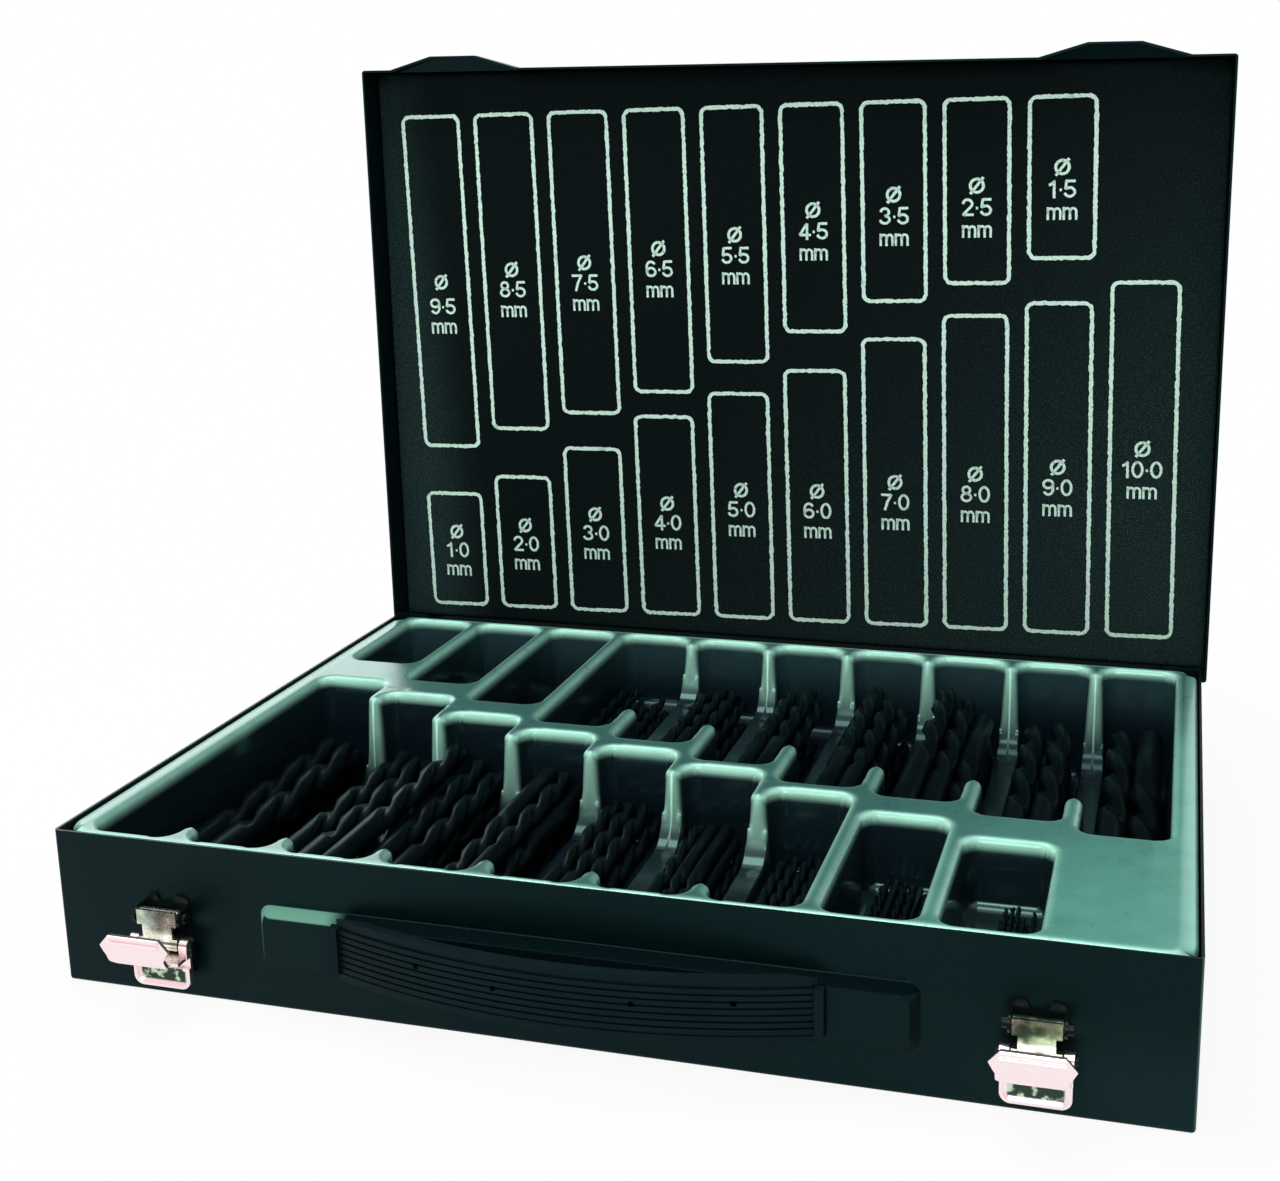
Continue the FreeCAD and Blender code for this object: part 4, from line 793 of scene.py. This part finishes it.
# %% Drills onto the rods
TURN_EACH = 2.4
drills = 0
for name, node in sorted(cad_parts.items()):
    if not name.startswith("drills_"):
        continue
    diameter = float(name.replace("drills_", "").replace("_", "."))
    all_points, all_faces, count = [], [], 0
    for number, rod in enumerate(separate_rods(node)):
        blunt, point, radius = rod_line(rod)
        points, rings, around = drill_points(blunt, point, radius, FLUTE_LENGTH[diameter], number * TURN_EACH)
        faces = grid_faces(rings, around, closed=True) + count
        caps = [count + np.arange(around)[::-1], count + (rings - 1) * around + np.arange(around)]
        all_points.append(points)
        all_faces += faces.tolist() + [list(cap) for cap in caps]
        count += len(points)
        drills += 1
    lot = make_piece("twist_" + name, np.concatenate(all_points), all_faces, drill_steel, "base")
    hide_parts(name)
print("drills laid:", drills)

# %% [markdown]
# ## The lid's foam
# A cut sheet of foam is never quite flat: it swells a little between the spots where glue holds it, and
# its cut edges are round. Its face is a grid pushed in by a gentle wave, and the rim of the grid turns
# back to the lid plate. The ink uses the same wave, so that it lies on the foam everywhere.

# %% Foam sheet
low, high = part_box("lid_foam")
FACE, BACK_FACE = low.y / MM, high.y / MM
LEFT, RIGHT, BOTTOM, TOP = low.x / MM, high.x / MM, low.z / MM, high.z / MM
WAVE_DEPTH, WAVE_TOP = 0.16, 1.6


def face_y(x, z):
    """The foam's face, which only ever lies behind the plane of its highest spots."""
    wave = np.sin(x / 21.0 + 1.3) * np.sin(z / 27.0 + 0.4) + 0.6 * np.sin(x / 47.0 - z / 39.0)
    return FACE + WAVE_DEPTH * (WAVE_TOP - wave) / (2 * WAVE_TOP)


def spaced(low, high, count):
    """Places from low to high, evenly spaced but for the rounded edges, where they are close."""
    rim_steps = np.array([0, 0.05, 0.3, 0.8, 1.6, 3])
    return np.concatenate([low + rim_steps, np.linspace(low + 6, high - 6, count), high - rim_steps[::-1]])


U, V = np.meshgrid(spaced(LEFT, RIGHT, 90), spaced(BOTTOM, TOP, 62))
CUT_ROUND, FOAM_CORNER = 1.4, 3.0
from_edge = inside(U, V, (LEFT + RIGHT) / 2, BOTTOM, TOP, (RIGHT - LEFT) / 2, FOAM_CORNER)
back_off = CUT_ROUND - np.sqrt(np.maximum(CUT_ROUND ** 2 - np.clip(CUT_ROUND - from_edge, 0, CUT_ROUND) ** 2, 0))
W = face_y(U, V) + back_off
U, V = np.pad(U, 1, mode="edge"), np.pad(V, 1, mode="edge")
W = np.pad(W, 1, constant_values=BACK_FACE)
foam = make_piece("foam_liner", np.stack([U, W, V], -1).reshape(-1, 3), grid_faces(*U.shape), liner_foam,
                  "lid")
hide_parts("lid_foam")
print("foam points:", len(foam.data.vertices))

# %% [markdown]
# ## The printed plan
# Every pocket is drawn on the liner as a rounded outline, with its drill size in the middle. Screen
# printing on foam gives a line that wavers by a tenth of a millimetre or two, so each outline is a band
# whose two edges wander on their own. The plan was printed a degree askew, and the whole of it is turned.

# %% Outlines
PLAN_PITCH, PLAN_WIDTH, LINE, PLAN_CORNER = 31.8, 24.34, 1.5, 2.7
ASKEW = math.radians(1.051)
RIM_UP = 44.3  # height of the open lid's lower rim
TURNED_AT = 100  # height over the rim at which the turn leaves the plan in place
TOP_LEFT, TOP_EDGE, LOW_LEFT, LOW_EDGE = -155.9, 217.0, -156.5, 10.8
INK_LIFT, INK_WAVER, INK_RAGGED = 0.06, 0.10, 0.045
# Drill size, length of its outline, and how far its lettering sits below the middle.
TOP_ROW = [(9.5, 136.6, 9.0), (8.5, 128.6, 6.0), (7.5, 121.4, 7.0), (6.5, 112.2, 6.2), (5.5, 99.6, 7.4),
           (4.5, 87.3, 4.4), (3.5, 75.4, 5.0), (2.5, 68.6, 5.6), (1.5, 59.3, 4.0)]
LOW_ROW = [(1.0, 48.8, 0.4), (2.0, 56.8, 0.6), (3.0, 69.7, 1.2), (4.0, 83.7, 2.6), (5.0, 93.6, 1.0),
           (6.0, 103.2, 5.4), (7.0, 115.9, 7.2), (8.0, 125.1, 7.6), (9.0, 129.9, 6.5), (10.0, 137.6, 2.5)]
plan = [(d, TOP_LEFT + PLAN_PITCH * i, TOP_EDGE - length, TOP_EDGE, drop)
        for i, (d, length, drop) in enumerate(TOP_ROW)]
plan += [(d, LOW_LEFT + PLAN_PITCH * i, LOW_EDGE, LOW_EDGE + length, drop)
         for i, (d, length, drop) in enumerate(LOW_ROW)]
wander = np.random.default_rng(7)


def on_liner(u, v):
    """A spot of the plan, turned askew, as a point of the ink just over the foam."""
    x = u * math.cos(ASKEW) - (v - TURNED_AT) * math.sin(ASKEW)
    z = RIM_UP + TURNED_AT + u * math.sin(ASKEW) + (v - TURNED_AT) * math.cos(ASKEW)
    return np.stack([x, face_y(x, z) - INK_LIFT, z], -1)


def outline(left, bottom, width, tall, corner, step=0.55):
    """Points round a rounded rectangle, with the outward direction at each."""
    spots, ways = [], []
    quarter = np.linspace(0, math.pi / 2, 9)[:-1]
    near, far = left + corner, left + width - corner
    foot, head = bottom + corner, bottom + tall - corner
    corners = [(far, foot, -math.pi / 2), (far, head, 0), (near, head, math.pi / 2), (near, foot, math.pi)]
    runs = [tall, width, tall, width]
    for (cx, cy, base), run in zip(corners, runs):
        for a in base + quarter:
            spots.append((cx + corner * math.cos(a), cy + corner * math.sin(a)))
            ways.append((math.cos(a), math.sin(a)))
        a = base + math.pi / 2
        n = int((run - 2 * corner) / step)
        for k in range(n):
            t = k / n * (run - 2 * corner)
            spots.append((cx + corner * math.cos(a) - math.sin(a) * t, cy + corner * math.sin(a) + math.cos(a) * t))
            ways.append((math.cos(a), math.sin(a)))
    return np.array(spots), np.array(ways)


ink_points, ink_faces, total = [], [], 0
for diameter, left, bottom, top, drop in plan:
    spots, ways = outline(left, bottom, PLAN_WIDTH, top - bottom, PLAN_CORNER)
    rough = wander.normal(0, INK_WAVER, (2, len(spots)))
    rough = (rough + np.roll(rough, 1, axis=1)) / 1.4
    rings = [spots + ways * (side * LINE / 2 + rough[k])[:, None] for k, side in enumerate((-1, 1))]
    ring_points = np.concatenate([on_liner(r[:, 0], r[:, 1]) for r in rings])
    ink_points.append(ring_points)
    ink_faces += (grid_faces(2, len(spots), closed=True) + total).tolist()
    total += len(ring_points)
print("outlines:", len(plan), "ink points:", total)


# %% [markdown]
# ## Letters from strokes
# A screen-printed size is drawn with a pen of even width, so each letter here is a few strokes: lines and
# parts of ellipses on a square one unit high. A ribbon gives a stroke its width. Nine is a six turned
# over, and only the letters that the plan needs are drawn. Each one comes with the step to the next.

# %% Strokes
def bow(cx, cy, rx, ry, start, stop, steps=14):
    """Part of an ellipse between two angles in degrees."""
    a = np.radians(np.linspace(start, stop, steps))
    return [(cx + rx * c, cy + ry * k) for c, k in zip(np.cos(a), np.sin(a))]


SIX = [bow(0.29, 0.60, 0.215, 0.35, 38, 180) + [(0.075, 0.32)], bow(0.29, 0.30, 0.215, 0.25, 180, 540, 24)]
STROKES = {
    "0": (0.58, [bow(0.29, 0.5, 0.215, 0.45, 90, 450, 30)]),
    "1": (0.42, [[(0.06, 0.74), (0.17, 0.80), (0.26, 0.95), (0.26, 0.0)]]),
    "2": (0.58, [bow(0.28, 0.70, 0.205, 0.25, 170, -35) + [(0.07, 0.05), (0.52, 0.05)]]),
    "3": (0.58, [bow(0.27, 0.725, 0.19, 0.225, 165, -90) + bow(0.27, 0.275, 0.215, 0.225, 90, -165)]),
    "4": (0.58, [[(0.39, 0.0), (0.39, 0.95), (0.04, 0.26), (0.54, 0.26)]]),
    "5": (0.58, [[(0.49, 0.95), (0.13, 0.95), (0.08, 0.48)] + bow(0.27, 0.31, 0.22, 0.26, 125, -160)]),
    "6": (0.58, SIX),
    "7": (0.56, [[(0.05, 0.95), (0.51, 0.95), (0.32, 0.50), (0.21, 0.0)]]),
    "8": (0.58, [bow(0.29, 0.74, 0.175, 0.21, -90, 270, 20), bow(0.29, 0.285, 0.215, 0.235, 90, 450, 24)]),
    "9": (0.58, [[(0.58 - x, 1.0 - y) for x, y in stroke] for stroke in SIX]),
    "·": (0.26, [[(0.115, 0.44), (0.145, 0.44)]]),
    "Ø": (1.0, [bow(0.5, 0.5, 0.38, 0.38, 90, 450, 30), [(0.15, 0.06), (0.85, 0.94)]]),
    "m": (0.90, [[(0.08, 0.0), (0.08, 0.92)], [(0.08, 0.55)] + bow(0.26, 0.60, 0.17, 0.27, 160, 0, 9) + [(0.43, 0.0)],
                 [(0.43, 0.55)] + bow(0.61, 0.60, 0.17, 0.27, 160, 0, 9) + [(0.78, 0.0)]]),
}


def ribbon(stroke, wide):
    """Points on both sides of a stroke, with a ragged edge, and its faces."""
    line = np.array(stroke, float)
    line = line[np.concatenate([[True], np.linalg.norm(np.diff(line, axis=0), axis=1) > 1e-4])]
    run = np.concatenate([[0], np.cumsum(np.linalg.norm(np.diff(line, axis=0), axis=1))])
    places = np.unique(np.concatenate([run, np.arange(0, run[-1], 0.4)]))
    line = np.stack([np.interp(places, run, line[:, k]) for k in (0, 1)], -1)
    way = np.gradient(line, axis=0)
    way /= np.linalg.norm(way, axis=1)[:, None]
    line[0] -= way[0] * wide * 0.3
    line[-1] += way[-1] * wide * 0.3
    normal = np.stack([-way[:, 1], way[:, 0]], -1)
    half = wide / 2 + wander.normal(0, INK_RAGGED, (2, len(line), 1))
    return np.concatenate([line - normal * half[0], line + normal * half[1]]), grid_faces(2, len(line))


def lettering(text, height, wide, stretch):
    """Points and faces of a centred line of letters of this height, pen width and sideways stretch."""
    spots, faces, pen, count = [], [], 0.0, 0
    for letter in text:
        advance, strokes = STROKES[letter]
        for stroke in strokes:
            points, quads = ribbon([((pen + x) * height * stretch, (y - 0.5) * height) for x, y in stroke], wide)
            spots.append(points)
            faces += (quads + count).tolist()
            count += len(points)
        pen += advance
    spots = np.concatenate(spots)
    spots[:, 0] -= (spots[:, 0].max() + spots[:, 0].min()) / 2
    return spots, faces


# %% Sizes on the plan
for diameter, left, bottom, top, drop in plan:
    middle = left + PLAN_WIDTH / 2, (bottom + top) / 2 - drop
    sign_rise = 10.0 if diameter == 9.5 else 8.0
    # text, height, rise over the middle line, pen width, sideways stretch
    lines = [("Ø", 6.5, sign_rise, 1.1, 1.0), (f"{diameter:.1f}".replace(".", "·"), 6.3, 0.0, 1.0, 1.32),
             ("mm", 4.6, -8.9, 0.9, 1.42)]
    for text, height, rise, wide, stretch in lines:
        spots, faces = lettering(text, height, wide, stretch)
        letters = on_liner(spots[:, 0] + middle[0], spots[:, 1] + middle[1] + rise)
        ink_points.append(letters)
        ink_faces += [[i + total for i in face] for face in faces]
        total += len(letters)
make_piece("liner_print", np.concatenate(ink_points), ink_faces, print_ink, "lid")
print("print points:", total)
